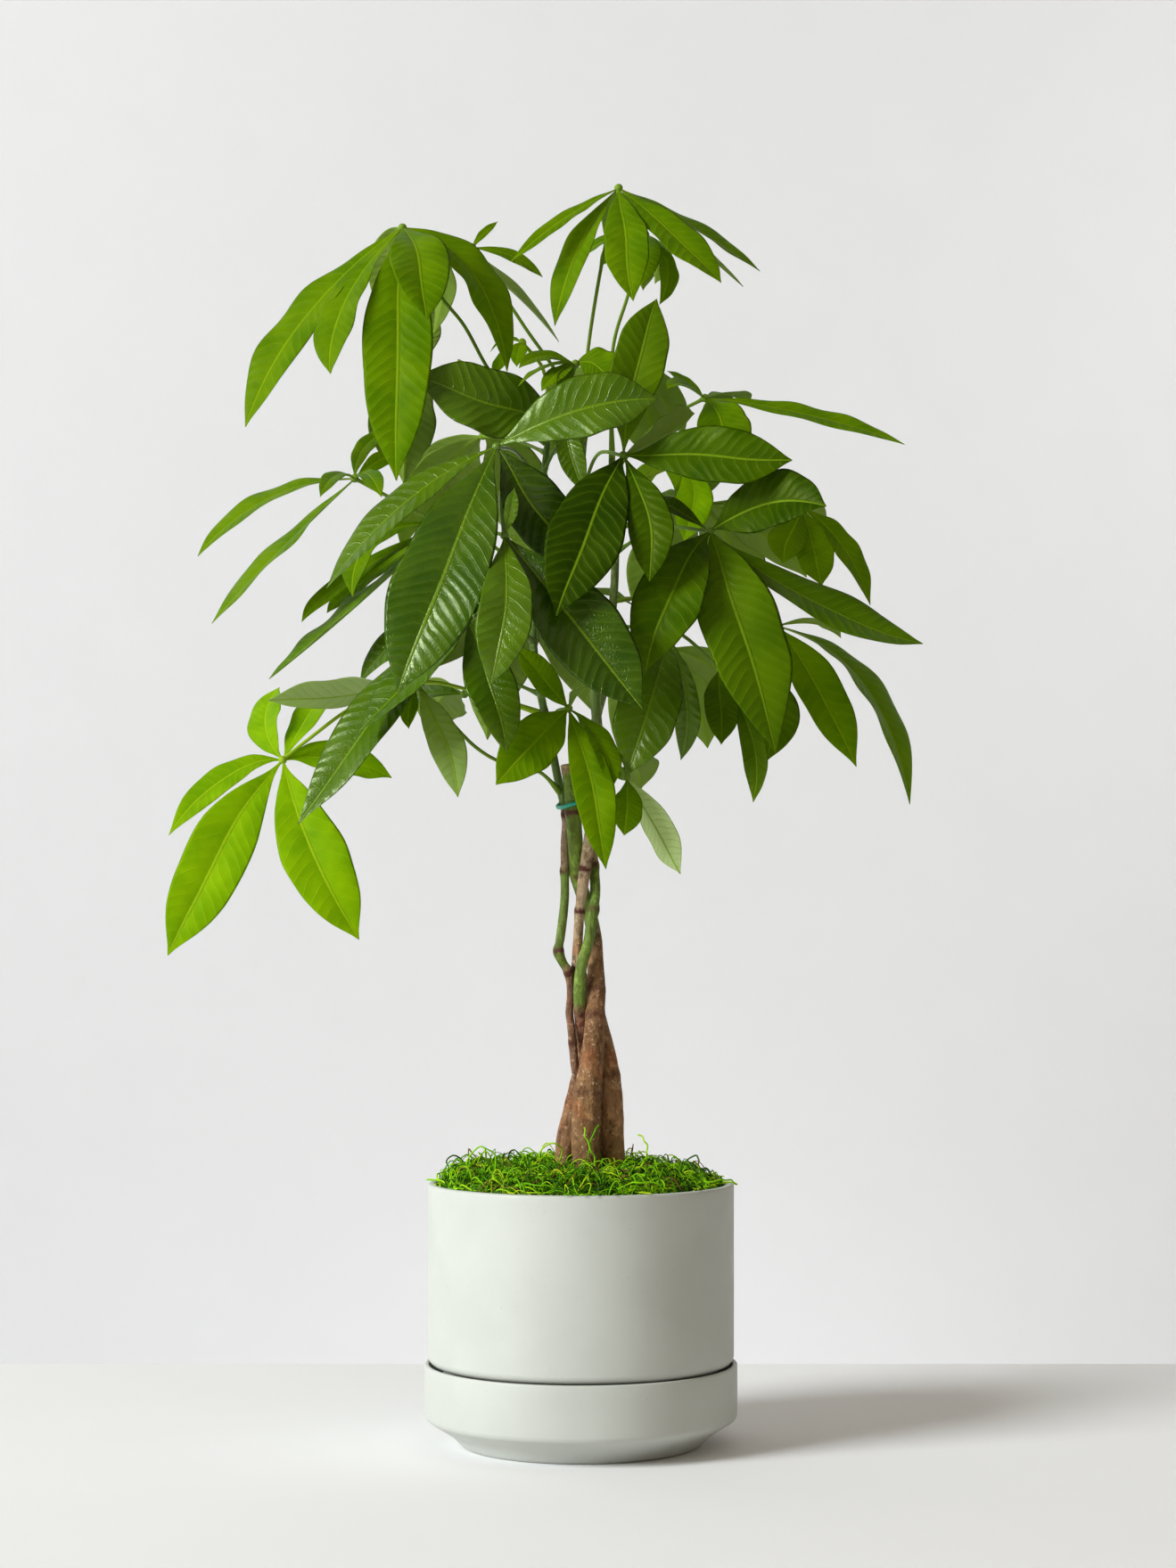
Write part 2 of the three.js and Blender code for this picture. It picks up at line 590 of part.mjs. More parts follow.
// A round stem as a row of rings across its centre line; extra makes it that much fatter and longer.
function stemSolid(name, extra = 0) {
  const rows = STEMS[name];
  const curve = stemCurve(name);
  const steps = (rows.length - 1) * 2;
  const rings = [];
  let bottom;
  let top;
  for (let step = 0; step <= steps; step += 1) {
    const centre = curve.getPoint(step / steps);
    const radius = stemRadius(name, centre.z) + extra;
    const tangent = curve.getTangent(step / steps);
    if (step === 0) centre.addScaledVector(tangent, -extra);
    if (step === steps) centre.addScaledVector(tangent, extra);
    const across = new THREE.Vector3(1, 0, 0).addScaledVector(tangent, -tangent.x).normalize();
    const away = new THREE.Vector3().crossVectors(tangent, across);
    const ring = [];
    for (let side = 0; side < STEM_SIDES; side += 1) {
      const angle = (side / STEM_SIDES) * 2 * Math.PI;
      ring.push(centre.clone()
        .addScaledVector(across, radius * Math.cos(angle))
        .addScaledVector(away, radius * Math.sin(angle)));
    }
    rings.push(ring);
    if (step === 0) bottom = centre;
    if (step === steps) top = centre;
  }
  return solidOf(loft(bottom, rings, top));
}

// ---- leaves ----
// Half width along a blade, as a share of its greatest half width.
const BLADE_OUTLINE = [[0.1, 0.14], [0.32, 0.76], [0.6, 1], [0.84, 0.6]];

function bladeSolid(hub, [middle, tip, width, facing]) {
  const bend = point(middle).multiplyScalar(2)
    .addScaledVector(point(hub), -0.5)
    .addScaledVector(point(tip), -0.5);
  const midrib = new THREE.QuadraticBezierCurve3(point(hub), bend, point(tip));
  const rings = BLADE_OUTLINE.map(([along, share]) => {
    const centre = midrib.getPoint(along);
    const tangent = midrib.getTangent(along);
    const across = new THREE.Vector3().crossVectors(tangent, point(facing)).normalize();
    const upward = new THREE.Vector3().crossVectors(across, tangent);
    const reach = (share * width) / 2;
    const edge = (side) => centre.clone()
      .addScaledVector(across, side * reach)
      .addScaledVector(upward, BLADE_FOLD * reach);
    return [
      edge(1),
      centre.clone().addScaledVector(upward, -BLADE_THICKNESS / 2),
      edge(-1),
      centre.clone().addScaledVector(upward, BLADE_THICKNESS / 2),
    ];
  });
  return solidOf(loft(point(hub), rings, point(tip)));
}

function roundSection(radius, sides) {
  const corners = [];
  for (let side = 0; side < sides; side += 1) {
    const angle = (side / sides) * 2 * Math.PI;
    corners.push(new THREE.Vector2(radius * Math.cos(angle), radius * Math.sin(angle)));
  }
  return new THREE.Shape(corners);
}

function petioleSolid(points) {
  const path = new THREE.CatmullRomCurve3(points, false, 'centripetal');
  return solidOf(new THREE.ExtrudeGeometry(roundSection(PETIOLE_R, PETIOLE_SIDES), {
    steps: points.length * 2,
    bevelEnabled: false,
    extrudePath: path,
  }));
}

// One compound leaf: petiole, knuckle and blades grown together, cut clear of the stem it springs from.
function leafSolid({ stem, from, route, hub, blades }) {
  const knuckle = new THREE.IcosahedronGeometry(PULVINUS_R, 0).translate(...hub);
  let leaf = petioleSolid([stemPoint(stem, from), ...route.map(point), point(hub)]);
  leaf = leaf.add(solidOf(knuckle));
  for (const blade of blades) {
    leaf = leaf.add(bladeSolid(hub, blade));
  }
  return cleaned(leaf.subtract(stemSolid(stem, GAP)));
}

// ---- the twist tie round the cut stem and the thin one, with its twisted ends at the back ----
function tieSolid() {
  const centres = ['stem_front', 'stem_thin'].map((name) => stemPoint(name, TIE_Z));
  const reaches = ['stem_front', 'stem_thin'].map((name) => stemRadius(name, TIE_Z) + TIE_R + TIE_SLACK);
  const across = centres[0].clone().sub(centres[1]);
  const turn = Math.atan2(across.y, across.x);
  const loop = [];
  for (const which of [0, 1]) {
    for (const degrees of [-80, -40, 0, 40, 80]) {
      const angle = turn + THREE.MathUtils.degToRad(degrees + 180 * which);
      loop.push(new THREE.Vector3(
        centres[which].x + reaches[which] * Math.cos(angle),
        centres[which].y + reaches[which] * Math.sin(angle),
        TIE_Z + TIE_DIP * Math.cos(2 * (angle - turn)),
      ));
    }
  }
  const ring = solidOf(new THREE.ExtrudeGeometry(roundSection(TIE_R, 6), {
    steps: 24,
    bevelEnabled: false,
    extrudePath: new THREE.CatmullRomCurve3(loop, true),
  }));
  const root = loop[7];
  const tail = new THREE.CylinderGeometry(TIE_R * 0.8, TIE_R * 1.2, TIE_TAIL, 6)
    .translate(0, TIE_TAIL / 2, 0)
    .translate(root.x, root.y, root.z);
  return cleaned(ring.add(solidOf(tail)));
}

// ---- the scene graph ----
const moneyTree = new THREE.Group();
moneyTree.name = 'money_tree';

function place(name, geometry, colour, roughness, parent) {
  const material = new THREE.MeshStandardMaterial({ color: colour, roughness, metalness: 0 });
  const mesh = new THREE.Mesh(geometry, material);
  mesh.name = name;
  parent.add(mesh);
}

const holder = new THREE.Group();
const plant = new THREE.Group();
moneyTree.add(holder, plant);

place('saucer', geometryOf(solidOf(saucerGeometry())), GLAZE, 0.55, holder);
place('pot', geometryOf(solidOf(potGeometry())), GLAZE, 0.55, holder);

let soil = solidOf(soilGeometry());
let moss = solidOf(mossGeometry());
for (const name of Object.keys(STEMS)) {
  const socket = stemSolid(name, GAP);
  soil = soil.subtract(socket);
  moss = moss.subtract(socket);
  place(name, geometryOf(stemSolid(name)), name === 'stem_thin' ? YOUNG_BARK : BARK, 0.8, plant);
}
place('soil', geometryOf(cleaned(soil)), SOIL_BROWN, 1, holder);
place('moss', geometryOf(cleaned(moss)), MOSS_GREEN, 0.95, holder);
place('twist_tie', geometryOf(tieSolid()), TIE_GREEN, 0.5, plant);

for (const [name, leaf] of Object.entries(LEAVES)) {
  place(name, geometryOf(leafSolid(leaf)), leaf.colour, 0.4, plant);
}

export default moneyTree;
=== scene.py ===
"""A potted money tree: the looks of every piece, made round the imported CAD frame.

Lengths on the plant and its pottery are in millimetres, which MM turns into Blender's metres; the
stage, the lights and the camera are placed in metres. The origin is the centre of the saucer's
underside, +Z is up and +Y points to the back.
"""
import math

import bpy
import numpy as np
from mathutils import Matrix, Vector


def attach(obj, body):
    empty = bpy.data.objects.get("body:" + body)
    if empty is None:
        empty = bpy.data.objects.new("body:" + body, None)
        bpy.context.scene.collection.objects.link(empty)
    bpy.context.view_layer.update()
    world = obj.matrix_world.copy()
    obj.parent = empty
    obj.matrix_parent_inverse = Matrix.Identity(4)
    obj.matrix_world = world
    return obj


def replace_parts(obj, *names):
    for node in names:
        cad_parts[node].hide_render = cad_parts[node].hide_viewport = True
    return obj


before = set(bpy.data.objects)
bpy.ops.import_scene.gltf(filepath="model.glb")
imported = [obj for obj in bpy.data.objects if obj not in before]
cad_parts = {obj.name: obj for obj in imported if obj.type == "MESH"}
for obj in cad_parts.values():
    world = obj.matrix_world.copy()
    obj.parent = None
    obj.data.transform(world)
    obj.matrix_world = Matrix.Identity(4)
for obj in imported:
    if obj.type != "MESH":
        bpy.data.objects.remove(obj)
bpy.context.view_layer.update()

MM = 0.001
rng = np.random.default_rng(7)

# ---- driving dimensions, as in the CAD ----
STEM_BOTTOM = 96
SOIL_TOP = 138

SAUCER_FOOT_R = 70
SAUCER_RIM_R = 91
SAUCER_WALL = 3
SAUCER_FLOOR = 6
SAUCER_HEIGHT = 47

POT_R = 89
POT_HEIGHT = 151.5
POT_WALL = 4.5
POT_FOOT_Z = 6.3
POT_FLOOR_Z = 12.3
POT_STEP_Z = 46.2
POT_STEP_R = 80
POT_FOOT_R = 69
DRAIN_R = 8

PETIOLE_R = 1.15
TIE_Z = 371


# ---- table of the stems: points up the middle of each, as [x, y, z, radius] ----
STEMS = {
    "stem_front": [
        [2, -7, STEM_BOTTOM, 8.2], [2.8, -10, 165, 8.5], [3.8, -11, 200, 8], [6.2, -11, 221, 7],
        [7.9, -8.4, 243, 5.9], [8.9, -3, 263, 5.1], [8.6, 3, 283, 4.4], [7.8, 7, 296, 4.2],
        [5, 8, 309, 4.3], [1, 7, 320, 4.3], [-2, 4, 331, 4.3], [-3.2, 0, 348, 4.3],
        [-4.4, -2, 365, 4.5], [-5.4, -3, 383, 4.9], [-7, -3, 395, 5],
    ],
    "stem_right": [
        [17.5, 4, STEM_BOTTOM, 7.6], [17.9, 2, 170, 7.8], [16.9, 2.5, 200, 7.1], [15.2, 3.5, 221, 6.4],
        [13, 5, 232, 5.9], [8.5, 9, 250, 5.3], [3.5, 10, 264, 4.4], [-1.8, 3.2, 277, 3.2],
        [-1.8, -2, 290, 2.9], [-1.3, -4.4, 300, 2.9], [-0.6, -5, 310, 2.9], [0.8, -5, 322, 3.1],
        [2.2, -5, 332, 3.2], [4.4, -5, 349, 3.1], [6.2, -3, 364, 3], [8.5, -3, 383, 3],
        [10.6, -2, 401, 3], [8.6, 0, 430, 2.9], [8, 2, 446, 2.8], [3, 4, 520, 2.4],
        [0, 5, 588, 2],
    ],
    "stem_left": [
        [-10.5, 5, STEM_BOTTOM, 5.4], [-9, 4, 173, 5.5], [-5.2, 5.5, 193, 5.2], [-1, 8, 211, 4.9],
        [1.6, 8, 228, 4.5], [0.6, 2.5, 243, 4], [-0.6, -4.5, 257, 3.6], [-0.6, -8.6, 268, 3.4],
        [0.8, -9.5, 279, 3.3], [4.2, -8, 291, 3.1], [5.8, -6.2, 301, 3.1], [7.4, -4.6, 311, 3.1],
        [8.4, -1, 323, 2.9], [7.6, 2.5, 334, 2.9], [6.4, 7, 348, 2.9], [3.5, 8.5, 365, 2.9],
        [3, 10, 383, 2.9], [5, 11, 401, 2.9], [14, 12, 450, 2.7], [20, 12, 510, 2.4],
        [18, 12, 575, 2],
    ],
    "stem_thin": [
        [5, 14, STEM_BOTTOM, 2.6], [4, 13, 165, 2.6], [3.8, 4, 190, 2.5], [1.6, 0, 200, 2.4],
        [-0.6, -1.2, 208, 2.4],
        [-3.1, -1.7, 217, 2.4], [-4.6, -1.5, 231, 2.4], [-5.8, -0.9, 243, 2.3], [-6.7, 0.5, 250, 2.3],
        [-6, 1, 259, 2.3], [-6, 0.6, 266, 2.4], [-7.2, -1, 274, 2.6], [-10.8, -1.6, 280, 2.6],
        [-13, -0.6, 286, 2.7], [-12, 0.8, 294, 2.6], [-10.8, 2, 303, 2.6], [-9.4, 3, 318, 2.5],
        [-9.4, 4.8, 333, 2.5], [-9.4, 6, 349, 2.5], [-8.6, 6, 365, 2.5], [-12.6, 4, 383, 2.4],
        [-20.5, 2, 422, 2.4], [-26, 2, 450, 2.3], [-28, 2, 476, 2.2], [-24, 0, 540, 2],
        [-18, -3, 594, 1.8],
    ],
}

# ---- table of the leaves ----
# the ways a blade's upper side can face
FRONT = [0, -1, 0.25]
FRONT_UP = [0, -0.7, 0.7]
FRONT_LEFT = [-0.6, -0.8, 0.4]
FRONT_RIGHT = [0.6, -0.8, 0.4]
UP = [0, -0.12, 1]
UP_BACK = [0, 0.55, 0.85]
UP_FRONT = [0, -0.4, 0.9]
UP_LEFT = [-0.55, -0.3, 0.8]
UP_RIGHT = [0.55, -0.3, 0.8]
BACK = [0, 1, 0.35]
BACK_LEFT = [-0.6, 0.8, 0.4]
BACK_RIGHT = [0.6, 0.8, 0.4]

# each leaf: the stem and height its stalk springs from, its look, the stalk's way from there to the
# hub, and the blades round the hub as [a point halfway along, the tip, full width, facing]
LEAVES = {
    "leaf_top_centre": ("stem_right", 583, "leaf_mid", [[4, 3, 636], [15, 4, 702], [22, 5, 732]], [
        [[-8, -10, 711], [-40, -25, 682], 11, FRONT_UP],
        [[-1, -8, 694], [-15, -20, 646], 20, FRONT_LEFT],
        [[25, -22, 696], [30, -36, 657], 26, FRONT],
        [[53, -20, 699], [80, -38, 667], 25, FRONT_UP],
        [[63, 8, 711], [105, 12, 685], 22, UP_FRONT],
        [[62, 30, 709], [97, 44, 683], 22, UP_FRONT],
        [[23, 44, 725], [24, 80, 712], 22, BACK],
    ]),
    "leaf_top_right": ("stem_left", 571, "leaf_mid", [[19, 25, 643], [28, 28, 675], [38, 30, 711]], [
        [[17, 30, 708], [-1, 28, 696], 14, UP_FRONT],
        [[24, 46, 708], [11, 58, 698], 12, UP_BACK],
        [[38, 6, 695], [35, -12, 671], 18, FRONT],
        [[50, 18, 690], [46, 6, 664], 15, FRONT_RIGHT],
        [[46, 54, 706], [45, 80, 693], 20, BACK_RIGHT],
        [[38, 64, 706], [38, 94, 692], 20, BACK],
    ]),
    "leaf_top_left": ("stem_thin", 586, "leaf_mid", [
        [-51, -6, 620], [-68, -10, 649], [-81, -12, 665], [-103, -15, 704],
    ], [
        [[-157, -25, 651], [-191, -37, 585], 32, FRONT_LEFT],
        [[-134, -38, 656], [-141, -54, 612], 27, FRONT_LEFT],
        [[-104, -46, 630], [-104, -52, 552], 40, FRONT],
        [[-92, -56, 677], [-85, -84, 636], 34, FRONT_UP],
        [[-61, -25, 674], [-42, -35, 617], 30, FRONT_RIGHT],
        [[-54, 6, 683], [-13, 24, 646], 28, UP_RIGHT],
        [[-83, 14, 687], [-88, 34, 652], 18, BACK_RIGHT],
        [[-112, 16, 696], [-120, 40, 668], 24, BACK],
    ]),
    "leaf_top_left_back": ("stem_right", 578, "leaf_mid", [[-9, 14, 616], [-34, 25, 656], [-65, 42, 706]], [
        [[-59, 48, 715], [-50, 56, 725], 5, FRONT],
        [[-41, 46, 701], [-23, 50, 690], 11, FRONT_UP],
        [[-86, 84, 696], [-92, 116, 672], 15, BACK_LEFT],
        [[-100, 62, 694], [-132, 76, 664], 24, UP_LEFT],
    ]),
    "leaf_small_crown": ("stem_thin", 591, "leaf_lime", [[-22, -5, 624], [-34, -3, 640]], [
        [[-36, -10, 634], [-37, -18, 623], 10, FRONT],
        [[-43, -7, 632], [-51, -12, 618], 11, FRONT_LEFT],
        [[-44, 3, 643], [-53, 8, 637], 9, UP_FRONT],
    ]),
    "leaf_small_star": ("stem_right", 580, "leaf_mid", [[-4, -12, 595], [-6, -28, 610], [-3, -36, 621]], [
        [[-20, -42, 624], [-35, -50, 616], 13, FRONT_UP],
        [[-19, -50, 617], [-35, -60, 604], 12, UP_LEFT],
        [[-12, -52, 613], [-22, -66, 600], 12, FRONT_UP],
        [[-9, -52, 610], [-13, -66, 598], 10, FRONT_RIGHT],
        [[11, -42, 618], [24, -48, 603], 24, FRONT],
    ]),
    "leaf_upper_left_glossy": ("stem_thin", 566, "leaf_dark", [[-14, -8, 579], [-8, -17, 587]], [
        [[-48, -39, 598], [-94, -48, 612], 43, FRONT],
        [[-6, -22, 574], [2, -26, 548], 16, FRONT],
    ]),
    "leaf_front_left": ("stem_thin", 556, "leaf_dark", [[-36, -30, 571], [-47, -65, 569]], [
        [[-1, -78, 587], [43, -74, 594], 37, FRONT],
        [[-97, -78, 536], [-140, -88, 487], 27, FRONT_LEFT],
        [[-74, -106, 495], [-99, -116, 427], 51, FRONT],
        [[-25, -66, 536], [-1, -50, 502], 36, FRONT],
    ]),
    "leaf_centre": ("stem_right", 556, "leaf_dark", [[10, -28, 571], [24, -60, 565]], [
        [[31, -64, 611], [43, -50, 655], 30, FRONT],
        [[71, -78, 561], [117, -86, 558], 33, FRONT],
        [[4, -92, 518], [-13, -114, 469], 42, FRONT],
        [[37, -86, 527], [38, -94, 490], 25, FRONT],
        [[48, -44, 580], [65, -30, 594], 30, UP_BACK],
    ]),
    "leaf_right_front": ("stem_left", 520, "leaf_dark", [[45, -20, 530], [73, -55, 523]], [
        [[105, -78, 535], [135, -96, 531], 36, FRONT],
        [[54, -48, 536], [41, -34, 545], 13, FRONT_UP],
        [[50, -84, 486], [36, -88, 441], 38, FRONT],
        [[89, -82, 467], [108, -88, 396], 45, FRONT],
        [[132, -62, 481], [192, -62, 459], 33, FRONT_UP],
    ]),
    "leaf_front_hanging": ("stem_thin", 548, "leaf_dark", [
        [-34, -26, 555], [-44, -58, 547], [-44, -80, 532], [-42, -90, 516],
    ], [
        [[-41, -124, 470], [-48, -128, 431], 30, FRONT],
        [[-3, -104, 466], [34, -114, 418], 44, FRONT],
        [[-38, -98, 528], [-36, -108, 539], 8, FRONT],
    ]),
    "leaf_left": ("stem_thin", 524, "leaf_mid", [
        [-60, -2, 532], [-90, -6, 539], [-118, -9, 553], [-131, -10, 560],
    ], [
        [[-181, -10, 548], [-221, -16, 514], 25, UP_FRONT],
        [[-169, -36, 517], [-209, -46, 472], 31, UP_LEFT],
        [[-127, 18, 582], [-111, 40, 599], 12, FRONT_UP],
        [[-118, 0, 571], [-105, 8, 578], 11, FRONT],
        [[-139, -38, 557], [-146, -64, 541], 11, FRONT_UP],
        [[-121, -34, 558], [-112, -56, 542], 12, FRONT_UP],
    ]),
    "leaf_left_inner": ("stem_thin", 498, "leaf_mid", [[-52, -8, 522], [-78, -20, 532]], [
        [[-119, -36, 520], [-129, -46, 487], 20, FRONT_LEFT],
        [[-133, -26, 500], [-159, -36, 474], 14, FRONT_UP],
        [[-124, -8, 502], [-147, -10, 482], 14, FRONT_UP],
        [[-134, -32, 479], [-177, -42, 441], 30, UP_LEFT],
    ]),
    "leaf_left_lower": ("stem_thin", 466, "leaf_dark", [[-45, -20, 481], [-65, -40, 476]], [
        [[-87, -66, 447], [-123, -76, 409], 34, FRONT_LEFT],
        [[-108, -56, 426], [-158, -70, 357], 36, FRONT_LEFT],
        [[-50, -70, 437], [-41, -80, 397], 28, FRONT],
        [[-101, -32, 466], [-126, -34, 439], 22, FRONT_LEFT],
    ]),
    "leaf_lime_low": ("stem_thin", 424, "leaf_lime", [
        [-63, 5, 438], [-91, 2, 443], [-126, -10, 431], [-157, -20, 408], [-171, -25, 396],
    ], [
        [[-183, -6, 419], [-177, 14, 441], 24, FRONT_LEFT],
        [[-160, -4, 420], [-153, 20, 437], 19, UP],
        [[-203, -32, 386], [-234, -42, 352], 19, FRONT_UP],
        [[-202, -46, 347], [-233, -52, 284], 37, FRONT],
        [[-151, -56, 343], [-124, -66, 293], 37, FRONT],
        [[-141, -12, 397], [-110, -2, 387], 28, FRONT_UP],
    ]),
    "leaf_low_left": ("stem_thin", 378, "leaf_mid", [
        [-24, -8, 390], [-46, -20, 395], [-60, -28, 403], [-75, -34, 418], [-93, -36, 437],
    ], [
        [[-136, -30, 433], [-178, -40, 429], 28, UP_BACK],
        [[-97, -46, 426], [-97, -52, 412], 10, FRONT],
        [[-77, -52, 406], [-69, -58, 373], 20, FRONT],
    ]),
    "leaf_low_centre": ("stem_thin", 417, "leaf_mid", [[-14, -20, 424], [-7, -45, 424]], [
        [[-26, -66, 403], [-47, -78, 379], 30, FRONT],
        [[6, -76, 379], [14, -84, 332], 23, FRONT],
        [[-21, -58, 440], [-36, -64, 457], 16, FRONT],
        [[0, -62, 433], [5, -76, 433], 14, FRONT_UP],
        [[10, -62, 405], [17, -76, 376], 18, FRONT_RIGHT],
    ]),
    "leaf_low_right": ("stem_right", 398, "leaf_mid", [[18, 5, 399], [27, 10, 388]], [
        [[27, -6, 370], [25, -14, 353], 18, FRONT],
        [[43, 4, 359], [58, 0, 331], 22, UP_BACK],
        [[32, 46, 396], [36, 84, 384], 28, BACK],
    ]),
    "leaf_right_inner": ("stem_left", 459, "leaf_dark", [[32, -3, 470], [51, -20, 468]], [
        [[40, -52, 428], [26, -62, 385], 36, FRONT],
        [[61, -14, 430], [58, -6, 397], 15, FRONT],
        [[52, 6, 478], [44, 38, 470], 24, UP],
    ]),
    "leaf_right_small": ("stem_left", 476, "leaf_dark", [[52, 2, 474], [80, -10, 451]], [
        [[80, -28, 428], [80, -38, 404], 20, FRONT],
        [[98, -34, 408], [98, -40, 371], 16, FRONT_LEFT],
        [[107, -8, 429], [107, -10, 396], 34, FRONT],
    ]),
    "leaf_right_lower": ("stem_left", 492, "leaf_mid", [[50, 14, 494], [90, 8, 488], [114, 2, 476]], [
        [[135, -16, 441], [158, -26, 392], 28, FRONT_UP],
        [[164, -6, 441], [190, -14, 371], 38, UP_RIGHT],
        [[138, 28, 480], [156, 52, 474], 14, BACK_RIGHT],
    ]),
    "leaf_right_upper": ("stem_left", 566, "leaf_mid", [[45, 18, 596], [73, 20, 612]], [
        [[133, 14, 601], [189, 4, 582], 17, FRONT_UP],
        [[88, 42, 618], [102, 62, 617], 18, UP],
        [[82, -2, 592], [88, -14, 562], 32, FRONT],
        [[61, 26, 623], [51, 30, 630], 10, UP_FRONT],
        [[60, 2, 616], [50, -10, 612], 14, FRONT_UP],
        [[84, 60, 610], [88, 102, 590], 24, BACK],
        [[92, 50, 604], [100, 84, 588], 16, BACK_RIGHT],
    ]),
    "leaf_right_middle": ("stem_left", 534, "leaf_mid", [[75, 14, 548], [130, 8, 545]], [
        [[121, -6, 527], [117, -16, 510], 22, FRONT],
        [[135, -6, 519], [139, -16, 497], 22, FRONT],
        [[152, 5, 524], [168, -6, 487], 20, FRONT_RIGHT],
        [[138, 44, 546], [144, 78, 532], 18, BACK],
    ]),
    "leaf_right_young": ("stem_left", 548, "leaf_lime", [[38, 24, 565], [62, 32, 577]], [
        [[66, 10, 552], [60, 0, 525], 22, FRONT],
        [[88, 46, 580], [110, 58, 564], 26, UP_RIGHT],
        [[64, 62, 584], [58, 100, 568], 30, BACK],
        [[44, 60, 576], [28, 82, 558], 22, BACK_LEFT],
    ]),
    "leaf_back_left": ("stem_thin", 576, "leaf_mid", [[-38, 40, 590], [-60, 80, 600]], [
        [[-92, 100, 576], [-112, 116, 534], 32, BACK_LEFT],
        [[-84, 132, 584], [-96, 166, 540], 40, BACK],
        [[-42, 128, 582], [-30, 162, 530], 40, BACK],
        [[-26, 92, 604], [2, 98, 590], 28, UP],
        [[-70, 92, 628], [-76, 106, 652], 26, BACK],
    ]),
    "leaf_back_right": ("stem_left", 540, "leaf_mid", [[44, 50, 554], [70, 86, 560]], [
        [[108, 104, 548], [140, 114, 518], 34, BACK_RIGHT],
        [[94, 134, 534], [106, 166, 480], 40, BACK],
        [[52, 138, 536], [40, 172, 490], 40, BACK],
        [[46, 104, 566], [26, 116, 552], 28, UP],
        [[80, 106, 590], [86, 120, 620], 26, BACK],
    ]),
    "leaf_back_low": ("stem_right", 482, "leaf_dark", [[-12, 38, 495], [-30, 76, 500]], [
        [[-68, 98, 488], [-100, 112, 458], 34, BACK_LEFT],
        [[-50, 128, 474], [-60, 160, 420], 42, BACK],
        [[-6, 128, 480], [12, 160, 432], 38, BACK],
        [[4, 88, 506], [32, 92, 498], 26, UP],
    ]),
    "leaf_back_low_right": ("stem_left", 448, "leaf_mid", [[34, 40, 466], [50, 72, 470]], [
        [[84, 94, 458], [110, 112, 428], 32, BACK_RIGHT],
        [[68, 118, 454], [80, 150, 414], 36, BACK],
        [[36, 118, 450], [30, 150, 402], 36, BACK],
        [[22, 92, 468], [0, 104, 450], 28, UP_LEFT],
    ]),
    "leaf_back_top": ("stem_right", 574, "leaf_mid", [[8, 36, 612], [20, 72, 638]], [
        [[44, 96, 634], [64, 118, 606], 28, BACK_RIGHT],
        [[38, 116, 628], [50, 144, 590], 38, BACK],
        [[-4, 116, 630], [-20, 142, 596], 34, BACK],
        [[18, 104, 646], [16, 132, 632], 20, BACK],
    ]),
    "leaf_back_upper_left": ("stem_thin", 581, "leaf_dark", [[-60, 28, 612], [-100, 62, 636]], [
        [[-116, 94, 628], [-124, 122, 592], 28, BACK_LEFT],
        [[-108, 108, 622], [-112, 142, 580], 38, BACK],
        [[-98, 72, 662], [-92, 70, 686], 24, BACK],
    ]),
    "leaf_back_lower_left": ("stem_thin", 436, "leaf_dark", [[-48, 26, 446], [-70, 50, 440]], [
        [[-104, 68, 438], [-126, 82, 420], 30, UP_LEFT],
        [[-86, 92, 440], [-96, 126, 424], 34, BACK],
        [[-54, 84, 432], [-44, 112, 404], 32, BACK_RIGHT],
    ]),
}


# ---- curves ----
def catmull_rom(points, count):
    """This many points along a centripetal Catmull-Rom curve, as many from each point to the next."""
    points = np.asarray(points, dtype=float)
    ends = [2 * points[0] - points[1]], [2 * points[-1] - points[-2]]
    padded = np.concatenate([ends[0], points, ends[1]])
    place = np.linspace(0, 1, count) * (len(points) - 1)
    piece = np.minimum(place.astype(int), len(points) - 2)
    weight = (place - piece)[:, None]
    corner = [padded[piece + k] for k in range(4)]
    gaps = [np.linalg.norm(corner[k + 1] - corner[k], axis=1)[:, None] ** 0.5 for k in range(3)]
    slope = []
    for k in (0, 1):
        before = (corner[k + 1] - corner[k]) / gaps[k]
        both = (corner[k + 2] - corner[k]) / (gaps[k] + gaps[k + 1])
        after = (corner[k + 2] - corner[k + 1]) / gaps[k + 1]
        slope.append((before - both + after) * gaps[1])
    start, end = corner[1], corner[2]
    square = -3 * start + 3 * end - 2 * slope[0] - slope[1]
    cube = 2 * start - 2 * end + slope[0] + slope[1]
    return start + slope[0] * weight + square * weight**2 + cube * weight**3


def unit(vectors):
    """The vectors at length 1."""
    return vectors / np.maximum(np.linalg.norm(vectors, axis=-1, keepdims=True), 1e-9)


def smooth_step(value, low, high):
    """0 below low, 1 above high, and a smooth way between."""
    share = np.clip((value - low) / (high - low), 0, 1)
    return share * share * (3 - 2 * share)


def ring_frames(centres):
    """Two directions across a path at each of its points, turned no more than the path turns."""
    tangents = unit(np.gradient(centres, axis=0))
    across = np.zeros_like(tangents)
    first = np.array([1.0, 0, 0]) if abs(tangents[0][0]) < 0.9 else np.array([0, 1.0, 0])
    across[0] = unit(first - tangents[0] * first.dot(tangents[0]))
    for k in range(1, len(centres)):
        side = across[k - 1] - tangents[k] * across[k - 1].dot(tangents[k])
        across[k] = unit(side)
    return across, np.cross(tangents, across)


